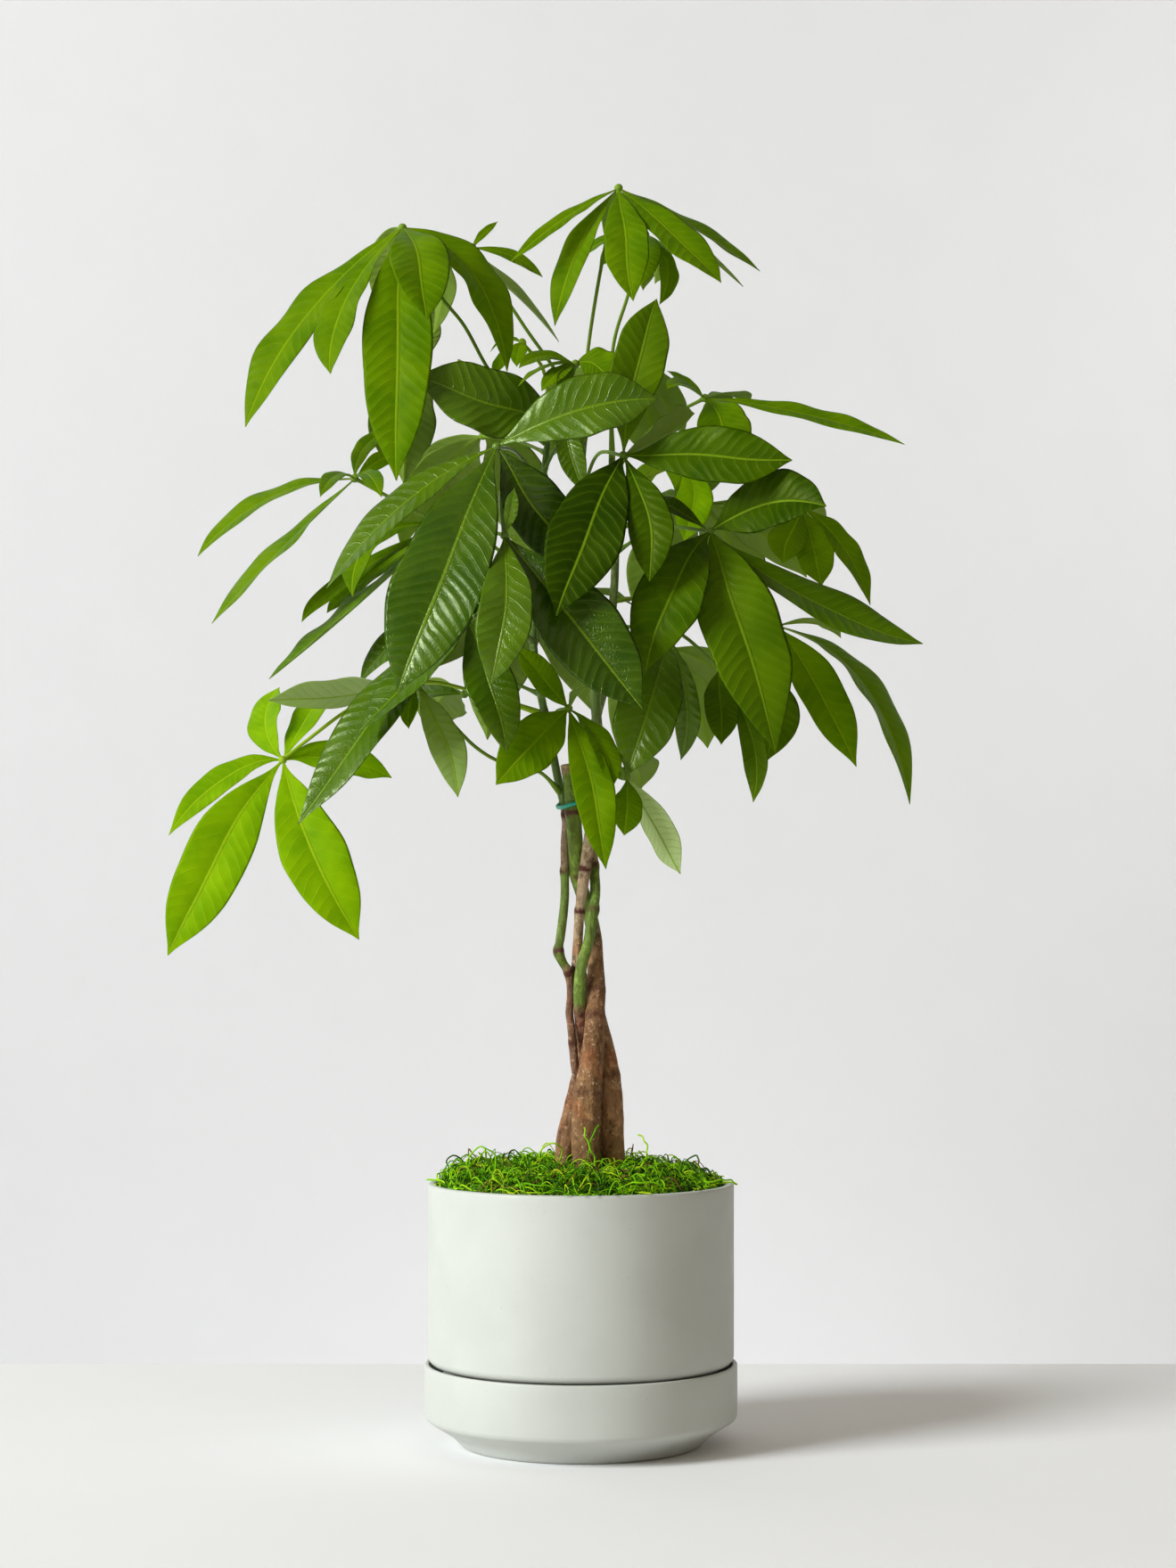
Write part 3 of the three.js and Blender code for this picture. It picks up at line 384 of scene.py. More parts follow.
# ---- meshes ----
class Shape:
    """The vertices and faces of one piece, gathered part by part, with values kept at each vertex."""

    def __init__(self):
        self.vertices = []
        self.faces = []
        self.values = {}
        self.count = 0

    def add(self, vertices, face_blocks, **values):
        self.vertices.append(np.asarray(vertices, dtype=float))
        self.faces.extend(np.asarray(block, dtype=int) + self.count for block in face_blocks)
        for key, value in values.items():
            self.values.setdefault(key, []).append(np.asarray(value, dtype=float))
        self.count += len(vertices)

    def piece(self, name, material, slot):
        """The Blender object: it rides on the root; the slot is not used."""
        mesh = bpy.data.meshes.new(name)
        vertices = np.concatenate(self.vertices) * MM
        faces = [face for block in self.faces for face in block.tolist()]
        mesh.from_pydata(vertices.tolist(), [], faces)
        for key, blocks in self.values.items():
            value = np.concatenate(blocks)
            kind = "FLOAT_VECTOR" if value.ndim == 2 else "FLOAT"
            layer = mesh.attributes.new(key, kind, "POINT")
            layer.data.foreach_set("vector" if value.ndim == 2 else "value", value.ravel())
        mesh.polygons.foreach_set("use_smooth", [True] * len(mesh.polygons))
        mesh.materials.append(material)
        made = bpy.data.objects.new(name, mesh)
        bpy.context.collection.objects.link(made)
        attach(made, "root")
        return made


def grid_faces(rows, columns, closed):
    """Quads over a grid of vertices numbered row by row; closed joins the last column to the first."""
    row = np.arange(rows - 1)[:, None] * columns
    spans = columns if closed else columns - 1
    here = np.arange(spans)
    there = (here + 1) % columns
    quads = np.stack([row + here, row + there, row + columns + there, row + columns + here], axis=-1)
    return quads.reshape(-1, 4)


def capped_rings(rings, sides, inside_out=False):
    """Faces of closed rings, fanned at each end to a vertex; those two vertices follow the rings."""
    side = np.arange(sides)
    first, second = (side + 1) % sides, side
    if inside_out:
        first, second = second, first
    start = np.full(sides, rings * sides)
    last = (rings - 1) * sides
    caps = np.concatenate([np.stack([start, first, second], axis=-1),
                           np.stack([start + 1, last + second, last + first], axis=-1)])
    skin = grid_faces(rings, sides, True)
    return [skin[:, ::-1] if inside_out else skin, caps]


def add_tube(shape, centres, radii, sides, lumps=1.0, **values):
    """A round tube with closed ends; lumps scales the radius at each ring and side."""
    centres = np.asarray(centres, dtype=float)
    across, away = ring_frames(centres)
    angle = np.arange(sides) / sides * 2 * np.pi
    reach = np.asarray(radii, dtype=float)[:, None] * lumps
    reach = np.broadcast_to(reach, (len(centres), sides))[..., None]
    cosine, sine = np.cos(angle)[:, None], np.sin(angle)[:, None]
    outward = cosine * across[:, None] + sine * away[:, None]
    rings = centres[:, None] + reach * outward
    vertices = np.concatenate([rings.reshape(-1, 3), centres[:1], centres[-1:]])
    spread = {}
    for key, value in values.items():
        value = np.asarray(value, dtype=float)
        if value.ndim == 0:
            value = np.full(len(centres), float(value))
        if len(value) == len(centres):
            value = np.repeat(value, sides, axis=0)
        spread[key] = np.concatenate([value, value[:1], value[-1:]])
    shape.add(vertices, capped_rings(len(centres), sides), **spread)


def add_turned(shape, profile, sides, rock=0.0):
    """A profile of [radius, z] pairs turned about Z; rock waves the radius a little."""
    profile = np.asarray(profile, dtype=float)
    angle = np.arange(sides) / sides * 2 * np.pi
    wave = 1 + rock * (np.sin(2 * angle + 0.6) + 0.5 * np.sin(3 * angle + 2))
    reach = profile[:, 0][:, None] * wave[None, :]
    height = np.repeat(profile[:, 1][:, None], sides, axis=1)
    vertices = np.stack([reach * np.cos(angle), reach * np.sin(angle), height], axis=-1)
    shape.add(vertices.reshape(-1, 3), [grid_faces(len(profile), sides, True)])


def arc(centre_r, centre_z, radius, start, end, steps=8):
    """Profile points round a corner, from one angle in degrees to another."""
    angles = np.radians(np.linspace(start, end, steps))
    return [[centre_r + radius * math.cos(a), centre_z + radius * math.sin(a)] for a in angles]


# ---- materials ----
class Nodes:
    """A small helper that makes and wires the shader nodes of a material or of the world."""

    def __init__(self, owner):
        owner.use_nodes = True
        self.owner = owner
        self.tree = owner.node_tree
        self.tree.nodes.clear()

    def make(self, kind, **settings):
        node = self.tree.nodes.new(kind)
        for key, value in settings.items():
            setattr(node, key, value)
        return node

    def wire(self, source, socket):
        """Puts a number, a colour, a vector or another node's output into a socket."""
        if isinstance(source, (int, float)):
            socket.default_value = source
        elif isinstance(source, tuple):
            socket.default_value = (*source, 1) if len(source) == 3 and socket.type == "RGBA" else source
        else:
            self.tree.links.new(source, socket)

    def feed(self, node, *sources):
        """Wires the sources into the node's inputs in turn; returns its first output."""
        for source, socket in zip(sources, node.inputs):
            self.wire(source, socket)
        return node.outputs[0]

    def math(self, operation, *sources, clamp=False):
        return self.feed(self.make("ShaderNodeMath", operation=operation, use_clamp=clamp), *sources)

    def times(self, first, second, clamp=False):
        return self.math("MULTIPLY", first, second, clamp=clamp)

    def plus(self, first, second):
        return self.math("ADD", first, second)

    def minus(self, first, second, clamp=False):
        return self.math("SUBTRACT", first, second, clamp=clamp)

    def ramp(self, value, low, high, start=0.0, end=1.0):
        """value carried smoothly from low..high to start..end."""
        node = self.make("ShaderNodeMapRange", interpolation_type="SMOOTHSTEP")
        return self.feed(node, value, low, high, start, end)

    def mix(self, share, first, second, blend="MIX"):
        node = self.make("ShaderNodeMix", data_type="RGBA", blend_type=blend)
        self.wire(share, node.inputs[0])
        self.wire(first, node.inputs[6])
        self.wire(second, node.inputs[7])
        return node.outputs[2]

    def tinted(self, colour, tint):
        return self.mix(1.0, colour, tint, "MULTIPLY")

    def noise(self, scale, detail=3.0, roughness=0.55, stretch=None):
        """Noise over the object in features per metre; stretch scales X, Y and Z."""
        source = self.make("ShaderNodeTexCoord").outputs["Object"]
        if stretch:
            mapping = self.make("ShaderNodeMapping")
            mapping.inputs["Scale"].default_value = stretch
            self.wire(source, mapping.inputs["Vector"])
            source = mapping.outputs[0]
        node = self.make("ShaderNodeTexNoise")
        self.wire(source, node.inputs["Vector"])
        node.inputs["Scale"].default_value = scale
        node.inputs["Detail"].default_value = detail
        node.inputs["Roughness"].default_value = roughness
        return node.outputs[0]

    def attribute(self, name, output="Fac"):
        node = self.make("ShaderNodeAttribute", attribute_name=name)
        return node.outputs[output]

    def bump(self, height, distance_mm, strength=1.0):
        node = self.make("ShaderNodeBump")
        node.inputs["Strength"].default_value = strength
        node.inputs["Distance"].default_value = distance_mm * MM
        self.wire(height, node.inputs["Height"])
        return node.outputs[0]

    def surface(self, colour, roughness, normal=None, **settings):
        shader = self.make("ShaderNodeBsdfPrincipled")
        self.wire(colour, shader.inputs["Base Color"])
        self.wire(roughness, shader.inputs["Roughness"])
        if normal is not None:
            self.wire(normal, shader.inputs["Normal"])
        for key, value in settings.items():
            shader.inputs[key.replace("_", " ")].default_value = value
        return shader.outputs[0]

    def thin(self, front, colour, share):
        """front, with this share of the light let through in this colour."""
        glow = self.feed(self.make("ShaderNodeBsdfTranslucent"), colour)
        return self.feed(self.make("ShaderNodeMixShader"), share, front, glow)

    def finish(self, shader, output="ShaderNodeOutputMaterial"):
        self.wire(shader, self.make(output).inputs["Surface"])
        return self.owner


def material_nodes(name):
    return Nodes(bpy.data.materials.new(name))


def glaze_material():
    """Matt sage glaze, very slightly mottled, with a faint orange-peel surface."""
    n = material_nodes("matte_sage_glaze")
    cloud = n.noise(16, detail=3)
    speck = n.noise(420, detail=2)
    colour = n.mix(n.ramp(cloud, 0.35, 0.65), (0.505, 0.522, 0.478), (0.540, 0.556, 0.512))
    colour = n.mix(n.ramp(speck, 0.66, 0.78, 0, 0.35), colour, (0.42, 0.42, 0.34))
    roughness = n.ramp(n.noise(60, detail=2), 0.3, 0.7, 0.42, 0.54)
    height = n.plus(n.noise(230, detail=2), n.times(n.noise(30, detail=1), 2.0))
    return n.finish(n.surface(colour, roughness, n.bump(height, 0.12, 0.6), Specular_IOR_Level=0.4))


def soil_material():
    n = material_nodes("damp_soil")
    crumbs = n.noise(260, detail=6, roughness=0.7)
    colour = n.mix(n.ramp(crumbs, 0.3, 0.7), (0.012, 0.008, 0.005), (0.085, 0.055, 0.032))
    return n.finish(n.surface(colour, 0.95, n.bump(crumbs, 3.0)))


# places on the moss's colour ramp, from deep shade through fresh green to dead brown
MOSS_SHADES = [
    (0.0, (0.010, 0.026, 0.001)), (0.3, (0.075, 0.26, 0.002)), (0.55, (0.23, 0.62, 0.003)),
    (0.75, (0.46, 0.86, 0.006)), (0.88, (0.66, 0.80, 0.02)), (0.96, (0.26, 0.14, 0.04)),
]


def colour_ramp(n, value, shades):
    node = n.make("ShaderNodeValToRGB")
    stops = node.color_ramp.elements
    while len(stops) < len(shades):
        stops.new(0.5)
    for stop, (place, shade) in zip(stops, shades):
        stop.position = place
        stop.color = (*shade, 1)
    n.wire(value, node.inputs[0])
    return node.outputs[0]


def moss_material(strands):
    """Curly moss: each strand has its own shade, and the bed under them is darker, as painted shade in the
    gaps between the strands.
    """
    n = material_nodes("moss_strands" if strands else "moss_bed")
    if strands:
        shade = n.plus(n.attribute("shade"), n.times(n.noise(300), 0.16))
        shade = n.minus(shade, 0.08, clamp=True)
        colour = colour_ramp(n, shade, MOSS_SHADES)
        front = n.surface(colour, 0.62, n.bump(n.noise(1500), 0.15, 0.6), Specular_IOR_Level=0.15)
        return n.finish(n.thin(front, colour, 0.25))
    clump = n.noise(170, detail=6, roughness=0.7)
    # painted shade: the bed takes only the darker part of the moss colours, for the shade in the gaps under
    # the strands
    colour = colour_ramp(n, n.ramp(clump, 0.3, 0.8, 0.0, 0.6), MOSS_SHADES)
    return n.finish(n.surface(colour, 0.9, n.bump(clump, 3.0)))


def bark_material():
    """Bark and green young wood: the colour of each height is kept at the vertices as "tone"."""
    n = material_nodes("bark")
    tone = n.attribute("tone", "Color")
    scar = n.attribute("scar")
    parts = n.make("ShaderNodeSeparateColor")
    red = n.feed(parts, tone)
    woody = n.ramp(n.minus(red, parts.outputs["Green"]), -0.04, 0.03, 0.12, 1.0)
    streaks = n.noise(240, detail=5, roughness=0.7, stretch=(1, 1, 0.3))
    patches = n.noise(130, detail=5, roughness=0.7)
    dots = n.noise(330, detail=3, roughness=0.7)
    ruddy = n.noise(55, detail=3)
    colour = n.mix(n.ramp(streaks, 0.36, 0.7, 0.0, 0.75), tone, n.tinted(tone, (0.40, 0.34, 0.28)))
    colour = n.mix(n.ramp(patches, 0.5, 0.68, 0, 0.8), colour, n.tinted(tone, (1.7, 1.75, 1.8)))
    ruddy_share = n.times(n.ramp(ruddy, 0.5, 0.68, 0, 0.7), woody)
    colour = n.mix(ruddy_share, colour, n.tinted(colour, (1.2, 0.8, 0.62)))
    fleck = n.times(n.ramp(dots, 0.58, 0.65, 0, 0.75), woody)
    colour = n.mix(fleck, colour, (0.52, 0.36, 0.22))
    pits = n.noise(210, detail=4, roughness=0.7, stretch=(1, 1, 0.7))
    pit = n.times(n.ramp(pits, 0.55, 0.64, 0, 0.75), woody)
    colour = n.mix(pit, colour, n.tinted(tone, (0.28, 0.22, 0.18)))
    broken = n.ramp(n.noise(200, detail=4), 0.36, 0.6, 0.35, 1.0)
    scar = n.times(n.times(scar, broken), 1.5, clamp=True)
    colour = n.mix(scar, colour, (0.08, 0.022, 0.012))
    height = n.plus(streaks, n.times(patches, 0.8))
    roughness = n.plus(n.ramp(streaks, 0.3, 0.7, 0.32, 0.5), n.times(woody, 0.26))
    return n.finish(n.surface(colour, roughness, n.bump(height, 1.7, 1.0), Specular_IOR_Level=0.22))


# each look of leaf: upper, under and vein colours, roughness, shine, share of light let through,
# and how deep the blade is quilted between its side veins
LEAF_LOOKS = {
    "leaf_dark": ((0.051, 0.122, 0.0004), (0.20, 0.30, 0.045), (0.18, 0.30, 0.008), 0.33, 0.13, 0.22, 0.11),
    "leaf_glossy": ((0.048, 0.122, 0.001), (0.20, 0.30, 0.05), (0.17, 0.29, 0.006), 0.21, 0.5, 0.20, 0.13),
    "leaf_mid": ((0.118, 0.248, 0.0005), (0.26, 0.37, 0.07), (0.28, 0.43, 0.008), 0.38, 0.08, 0.40, 0.11),
    "leaf_lime": ((0.235, 0.46, 0.001), (0.30, 0.50, 0.01), (0.40, 0.57, 0.015), 0.44, 0.08, 0.42, 0.08),
}
STALK_SHADES = {
    "leaf_dark": (0.10, 0.185, 0.02), "leaf_glossy": (0.10, 0.185, 0.02),
    "leaf_mid": (0.16, 0.27, 0.025), "leaf_lime": (0.28, 0.43, 0.02),
}


def leaf_material(look):
    """A leaf and its stalk, from what add_blade keeps at the vertices: mm across a blade, the phase
    of its side veins and its half width, its tint, which side is up, and what is stalk."""
    upper, under, vein, gloss, shine, through, quilting = LEAF_LOOKS[look]
    n = material_nodes(look)
    split = n.make("ShaderNodeSeparateXYZ")
    n.feed(split, n.attribute("blade", "Vector"))
    across, phase, half = split.outputs
    tint = n.attribute("tint")
    stalk = n.attribute("stalk")
    topside = n.math("GREATER_THAN", n.attribute("topside"), 0.5)
    off_rib = n.math("ABSOLUTE", across)
    swell = n.math("COSINE", n.times(n.minus(phase, 0.5), 2 * math.pi))
    off_vein = n.times(n.math("ABSOLUTE", n.minus(n.math("FRACT", phase), 0.5)), 7.0)
    side_vein = n.ramp(off_vein, 0.1, 0.5, 1.0, 0.0)
    rib_low, rib_high = n.plus(0.15, n.times(half, 0.01)), n.plus(0.45, n.times(half, 0.03))
    rib = n.ramp(off_rib, rib_low, rib_high, 1.0, 0.0)
    net = n.make("ShaderNodeTexVoronoi", feature="DISTANCE_TO_EDGE")
    net.inputs["Scale"].default_value = 620
    net = n.feed(net, n.make("ShaderNodeTexCoord").outputs["Object"])
    fine_vein = n.ramp(net, 0.0, 0.09, 1.0, 0.0)

    # the upper side: blotched, then tinted leaf by leaf, with its veins on top
    blotch = n.noise(38, detail=3)
    darker = n.tinted(upper, (0.72, 0.8, 0.8))
    lighter = n.tinted(upper, (1.45, 1.22, 1.1))
    top = n.mix(n.ramp(blotch, 0.3, 0.72), darker, lighter)
    top = n.mix(n.times(tint, 0.75, clamp=True), top, n.mix(0.45, top, (0.16, 0.27, 0.004)))
    # painted shade: a tint below 0 darkens the upper side of blades that hang in the crown's shade
    shaded = n.tinted(top, (0.34, 0.37, 0.5))
    top = n.mix(n.times(tint, -1.0, clamp=True), top, shaded)
    # a tint above 1.2 lays a pale colour on both sides: a pale underside's own colour, partly brightened as
    # painted light
    pale_and_painted_light = n.ramp(tint, 1.2, 1.6)
    top = n.mix(pale_and_painted_light, top, (0.42, 0.54, 0.24))
    top = n.mix(n.ramp(swell, -0.2, 1.0, 0.0, 0.07), top, vein)
    for lines, share in ((side_vein, 0.12 if upper[1] < 0.2 else 0.22), (rib, 0.8)):
        top = n.mix(n.times(lines, share), top, vein)
    # the underside, and the stalk
    below = n.mix(n.ramp(blotch, 0.3, 0.7, 0.0, 0.4), under, n.mix(0.5, under, upper))
    below = n.mix(pale_and_painted_light, below, (0.62, 0.76, 0.42))
    for lines, share in ((side_vein, 0.3), (fine_vein, 0.12), (rib, 0.85)):
        below = n.mix(n.times(lines, share), below, vein)
    old_stalk = n.mix(n.ramp(n.noise(90), 0.5, 0.8, 0, 0.6), STALK_SHADES[look], (0.13, 0.09, 0.03))
    colour = n.mix(stalk, n.mix(topside, below, top), old_stalk)

    # the relief stands the other way up on the underside, and a stalk has none
    height = n.times(swell, n.times(n.ramp(off_rib, 0.4, 4.0), -quilting))
    for lines, depth in ((side_vein, 0.16), (fine_vein, 0.035), (rib, 0.35)):
        height = n.minus(height, n.times(lines, depth))
    sign = n.minus(n.times(topside, 2.0), 1.0)
    height = n.times(n.times(height, sign), n.minus(1.0, stalk))
    height = n.plus(height, n.times(n.noise(700), 0.08))
    smudge = n.ramp(n.noise(90, detail=4), 0.35, 0.7, -0.05, 0.1)
    roughness = n.plus(smudge, n.plus(0.58, n.times(topside, gloss - 0.58)))
    front = n.surface(colour, roughness, n.bump(height, 1.0, 1.0),
                      Specular_IOR_Level=shine, Specular_Tint=(0.9, 1, 0.62 if shine > 0.3 else 0.25, 1))
    lit = n.mix(0.5, n.tinted(colour, (2.6, 2.2, 0.9)), vein)
    share = n.times(n.minus(1.0, stalk), through)
    return n.finish(n.thin(front, n.tinted(lit, (1.0, 1.0, 0.45)), share))


def tie_material():
    n = material_nodes("coated_wire_tie")
    colour = n.mix(n.ramp(n.noise(500), 0.35, 0.7), (0.008, 0.29, 0.20), (0.02, 0.40, 0.29))
    return n.finish(n.surface(colour, 0.4, n.bump(n.noise(900), 0.15, 0.5)))


# ---- leaves ----
# share of a blade's full width along it, from the hub to the drawn-out tip
OUTLINE = [
    [0, 0.03], [0.03, 0.05], [0.09, 0.16], [0.18, 0.42], [0.3, 0.72], [0.43, 0.93], [0.56, 1],
    [0.68, 0.95], [0.78, 0.79], [0.86, 0.56], [0.92, 0.32], [0.965, 0.13], [1, 0.015],
]
SMOOTH_OUTLINE = catmull_rom([[s, w, 0] for s, w in OUTLINE], 200)
# where the rows of vertices lie across a blade, from the midrib at 0 to the edges
HALF_ACROSS = np.array([0, 0.07, 0.2, 0.38, 0.57, 0.76, 0.92, 1])
ACROSS = np.concatenate([-HALF_ACROSS[:0:-1], HALF_ACROSS])
BLADE_MID_THICKNESS = 0.42
BLADE_EDGE_THICKNESS = 0.2


def add_blade(shape, hub, blade, quilting, dice, tint):
    """One leaflet: a thin closed shell, folded along its midrib, quilted between its side veins. A tint
    below 0 paints the crown's shade on it, and one above 1.2 gives it a pale underside colour, partly
    brightened as painted light."""
    # the midrib: a bow from the hub through the middle point to the tip, twisted and swayed a little
    middle, tip, width, facing = blade
    hub, middle, tip, facing = (np.asarray(p, dtype=float) for p in (hub, middle, tip, facing))
    handle = 2 * middle - (hub + tip) / 2
    rows = 66 if width >= 26 else 44
    s = np.linspace(0, 1, rows) ** 1.04
    s[-1] = 1
    t = s[:, None]
    spine = (1 - t) ** 2 * hub + 2 * t * (1 - t) * handle + t * t * tip
    tangent = unit(2 * (1 - t) * (handle - hub) + 2 * t * (tip - handle))
    across = unit(np.cross(tangent, facing))
    upward = np.cross(across, tangent)
    length = np.linalg.norm(np.diff(spine, axis=0), axis=1).sum()
    twist = np.radians(dice.uniform(-11, 11)) * s + np.radians(dice.uniform(-5, 5)) * np.sin(5 * s)
    cosine, sine = np.cos(twist)[:, None], np.sin(twist)[:, None]
    across, upward = across * cosine + upward * sine, upward * cosine - across * sine
    sway = dice.uniform(-1.6, 1.6) * width / 30 * np.sin(np.pi * s)
    sway = sway * np.sin(np.pi * s * 2 + dice.uniform(0, 6))
    spine = spine + across * sway[:, None]

    # the outline, and the fold up from the midrib to a wavy edge on either side
    half = np.interp(s ** dice.uniform(0.9, 1.12), *SMOOTH_OUTLINE[:, :2].T) * width / 2
    wobble = 1 + 0.025 * np.sin(2 * np.pi * (s * dice.uniform(2, 4) + dice.uniform()))
    half = (half * wobble)[:, None]
    u = ACROSS[None, :]
    off_rib = np.abs(u) * half
    fold = dice.uniform(0.75, 1.25)
    lift = half * fold * (0.38 * np.abs(u) - 0.2 * u * u)
    for side in (-1, 1):
        turns, start = dice.uniform(2.2, 4.2), dice.uniform(0, 2 * np.pi)
        size = dice.uniform(0.5, 1.5) * min(1.0, width / 34)
        wave = size * np.sin(2 * np.pi * turns * s + start)[:, None] * np.abs(u) ** 2.2
        lift = lift + np.where(u * side > 0, wave, 0) * np.sin(np.pi * s)[:, None]
    # the side veins: phase counts them from the hub, whole numbers lying midway between two
    spacing = float(np.clip(length / 14, 3.2, 7.4)) * dice.uniform(0.93, 1.07)
    bend = 0.26 * np.sign(u) * smooth_step(off_rib, 0, 4)
    jitter = 0.14 * np.sin(s * 31 + dice.uniform(0, 6))[:, None] * np.sign(u) * np.minimum(off_rib / 5, 1)
    slant = dice.uniform(0.5, 0.72)
    phase = (length * s[:, None] - slant * off_rib - 0.011 * off_rib**2) / spacing + bend + jitter
    edge_fade = smooth_step(half - off_rib, 0, 2.5)
    quilt = -np.cos(2 * np.pi * (phase - 0.5)) * smooth_step(off_rib, 0.6, 4.5) * edge_fade
    lift = lift + 1.3 * quilting * quilt * np.minimum(1, spacing / 7)

    # an upper and a lower skin, with the midrib standing out below
    thick = (BLADE_EDGE_THICKNESS + (BLADE_MID_THICKNESS - BLADE_EDGE_THICKNESS) * (1 - u * u)) / 2
    thick = np.broadcast_to(thick * np.minimum(1, 0.3 + half / 4), lift.shape)
    ridge = (0.75 - 0.55 * s)[:, None] * np.exp(-((off_rib / 1.1) ** 2))
    base = spine[:, None] + across[:, None] * (u * half)[..., None]
    top = base + upward[:, None] * (lift + thick)[..., None]
    under = base + upward[:, None] * (lift - thick - ridge)[..., None]
    rings = np.concatenate([top, under[:, -2:0:-1]], axis=1)

    values = np.stack([u * half, phase, np.broadcast_to(half, lift.shape)], axis=-1)
    values = np.concatenate([values, values[:, -2:0:-1]], axis=1)
    topside = np.ones((rows, len(ACROSS)))
    topside[:, [0, -1]] = 0.5
    topside = np.concatenate([topside, np.zeros((rows, len(ACROSS) - 2))], axis=1)

    vertices = np.concatenate([rings.reshape(-1, 3), spine[:1], spine[-1:]])
    flat = values.reshape(-1, 3)
    shape.add(
        vertices, capped_rings(rows, rings.shape[1], inside_out=True),
        blade=np.concatenate([flat, flat[:1], flat[-1:]]),
        topside=np.concatenate([topside.ravel(), [0.5, 0.5]]),
        tint=np.full(len(vertices), tint), stalk=np.zeros(len(vertices)),
    )


def stem_point(name, height):
    """The place on a stem's centre line at this height."""
    line = catmull_rom([row[:3] for row in STEMS[name]], 600)
    return np.array([np.interp(height, line[:, 2], line[:, k]) for k in range(3)])


def add_stalk(shape, foot, route, blades, dice):
    """The petiole, swollen where it leaves the stem, and the knuckle where the leaflets meet."""
    rings, knuckle_rings = 34, 9
    s = np.linspace(0, 1, rings)
    path = catmull_rom([foot, *route], rings)
    radii = 0.92 + 0.9 * np.exp(-((s / 0.09) ** 2)) + 0.45 * np.exp(-(((1 - s) / 0.05) ** 2))
    plain = {"topside": 1.0, "stalk": 1.0}
    add_tube(shape, path, PETIOLE_R * radii, 9, blade=np.zeros((rings, 3)), tint=dice.uniform(), **plain)

    hub = np.asarray(route[-1], dtype=float)
    middles = np.mean([unit(np.asarray(blade[0]) - hub) for blade in blades], axis=0)
    axis = unit(middles if np.linalg.norm(middles) > 0.2 else path[-1] - path[-3])
    place = np.linspace(-1, 1, knuckle_rings)
    centres = hub + axis * (place * 2.3)[:, None]
    radii = 2.5 * np.sqrt(1.04 - place**2)
    add_tube(shape, centres, radii, 12, blade=np.zeros((knuckle_rings, 3)), tint=0.3, **plain)


# leaves with a wet-looking shine
GLOSSY = (
    "leaf_upper_left_glossy", "leaf_front_left", "leaf_front_hanging", "leaf_left_lower",
    "leaf_right_inner",
)
# tints of the blades, by their place in the leaf: below 0 painted shade for blades that hang in shade,
# above 1.2 a pale underside colour, partly brightened as painted light
TINTS = {
    "leaf_centre": {1: -0.3, 2: -0.9, 3: -0.5}, "leaf_right_front": {0: -0.65, 1: -0.6, 2: -0.1},
    "leaf_front_left": {2: -0.15, 3: -0.9}, "leaf_front_hanging": {1: -0.5},
    "leaf_low_right": {1: 2.0}, "leaf_low_left": {0: 1.4, 2: 1.4}, "leaf_top_left": {5: 1.4},
}


def make_leaves():
    finishes = {look: leaf_material(look) for look in LEAF_LOOKS}
    for number, (name, (stem, height, slot, route, blades)) in enumerate(LEAVES.items()):
        dice = np.random.default_rng(100 + number)
        shape = Shape()
        leaf_tint = dice.uniform(0, 0.6)
        look = "leaf_glossy" if name in GLOSSY else slot
        quilting = LEAF_LOOKS[look][-1]
        for place, blade in enumerate(blades):
            tint = leaf_tint + dice.uniform(0, 0.4)
            tint = TINTS.get(name, {}).get(place, tint)
            add_blade(shape, route[-1], blade, quilting, dice, tint)
        add_stalk(shape, stem_point(stem, height), route, blades, dice)
        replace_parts(shape.piece(name + "_blades", finishes[look], slot), name)


# ---- stems ----
# bark and green wood by height: z and linear colour
TONES = {
    "stem_front": [
        [150, (0.25, 0.135, 0.052)], [240, (0.24, 0.12, 0.05)], [288, (0.28, 0.155, 0.07)],
        [300, (0.2, 0.2, 0.06)], [308, (0.15, 0.23, 0.03)], [362, (0.14, 0.215, 0.022)],
        [388, (0.15, 0.23, 0.025)], [391, (0.4, 0.29, 0.15)], [395, (0.5, 0.38, 0.22)],
    ],
    # painted light: stem_right's brown bark tones are set lighter than the other trunks', standing in for
    # light falling on that trunk
    "stem_right": [
        [150, (0.40, 0.215, 0.095)], [222, (0.38, 0.2, 0.09)], [240, (0.30, 0.165, 0.07)],
        [256, (0.32, 0.21, 0.10)], [270, (0.40, 0.28, 0.16)], [345, (0.45, 0.34, 0.21)],
        [370, (0.36, 0.27, 0.15)], [400, (0.25, 0.27, 0.1)], [430, (0.16, 0.25, 0.05)],
        [600, (0.13, 0.24, 0.035)],
    ],
    "stem_left": [
        [150, (0.29, 0.15, 0.066)], [225, (0.28, 0.145, 0.07)], [246, (0.29, 0.14, 0.09)],
        [253, (0.27, 0.17, 0.08)], [258, (0.16, 0.25, 0.035)], [334, (0.13, 0.21, 0.025)],
        [338, (0.32, 0.23, 0.13)], [362, (0.33, 0.24, 0.14)], [400, (0.2, 0.24, 0.07)],
        [600, (0.13, 0.23, 0.035)],
    ],
    "stem_thin": [
        [150, (0.12, 0.08, 0.04)], [215, (0.21, 0.11, 0.06)], [268, (0.27, 0.15, 0.09)],
        [275, (0.32, 0.22, 0.12)], [279, (0.11, 0.17, 0.015)], [294, (0.18, 0.27, 0.05)],
        [331, (0.165, 0.26, 0.04)], [335, (0.36, 0.25, 0.15)], [362, (0.38, 0.27, 0.17)],
        [367, (0.2, 0.12, 0.06)], [371, (0.13, 0.22, 0.05)], [600, (0.13, 0.24, 0.035)],
    ],
}
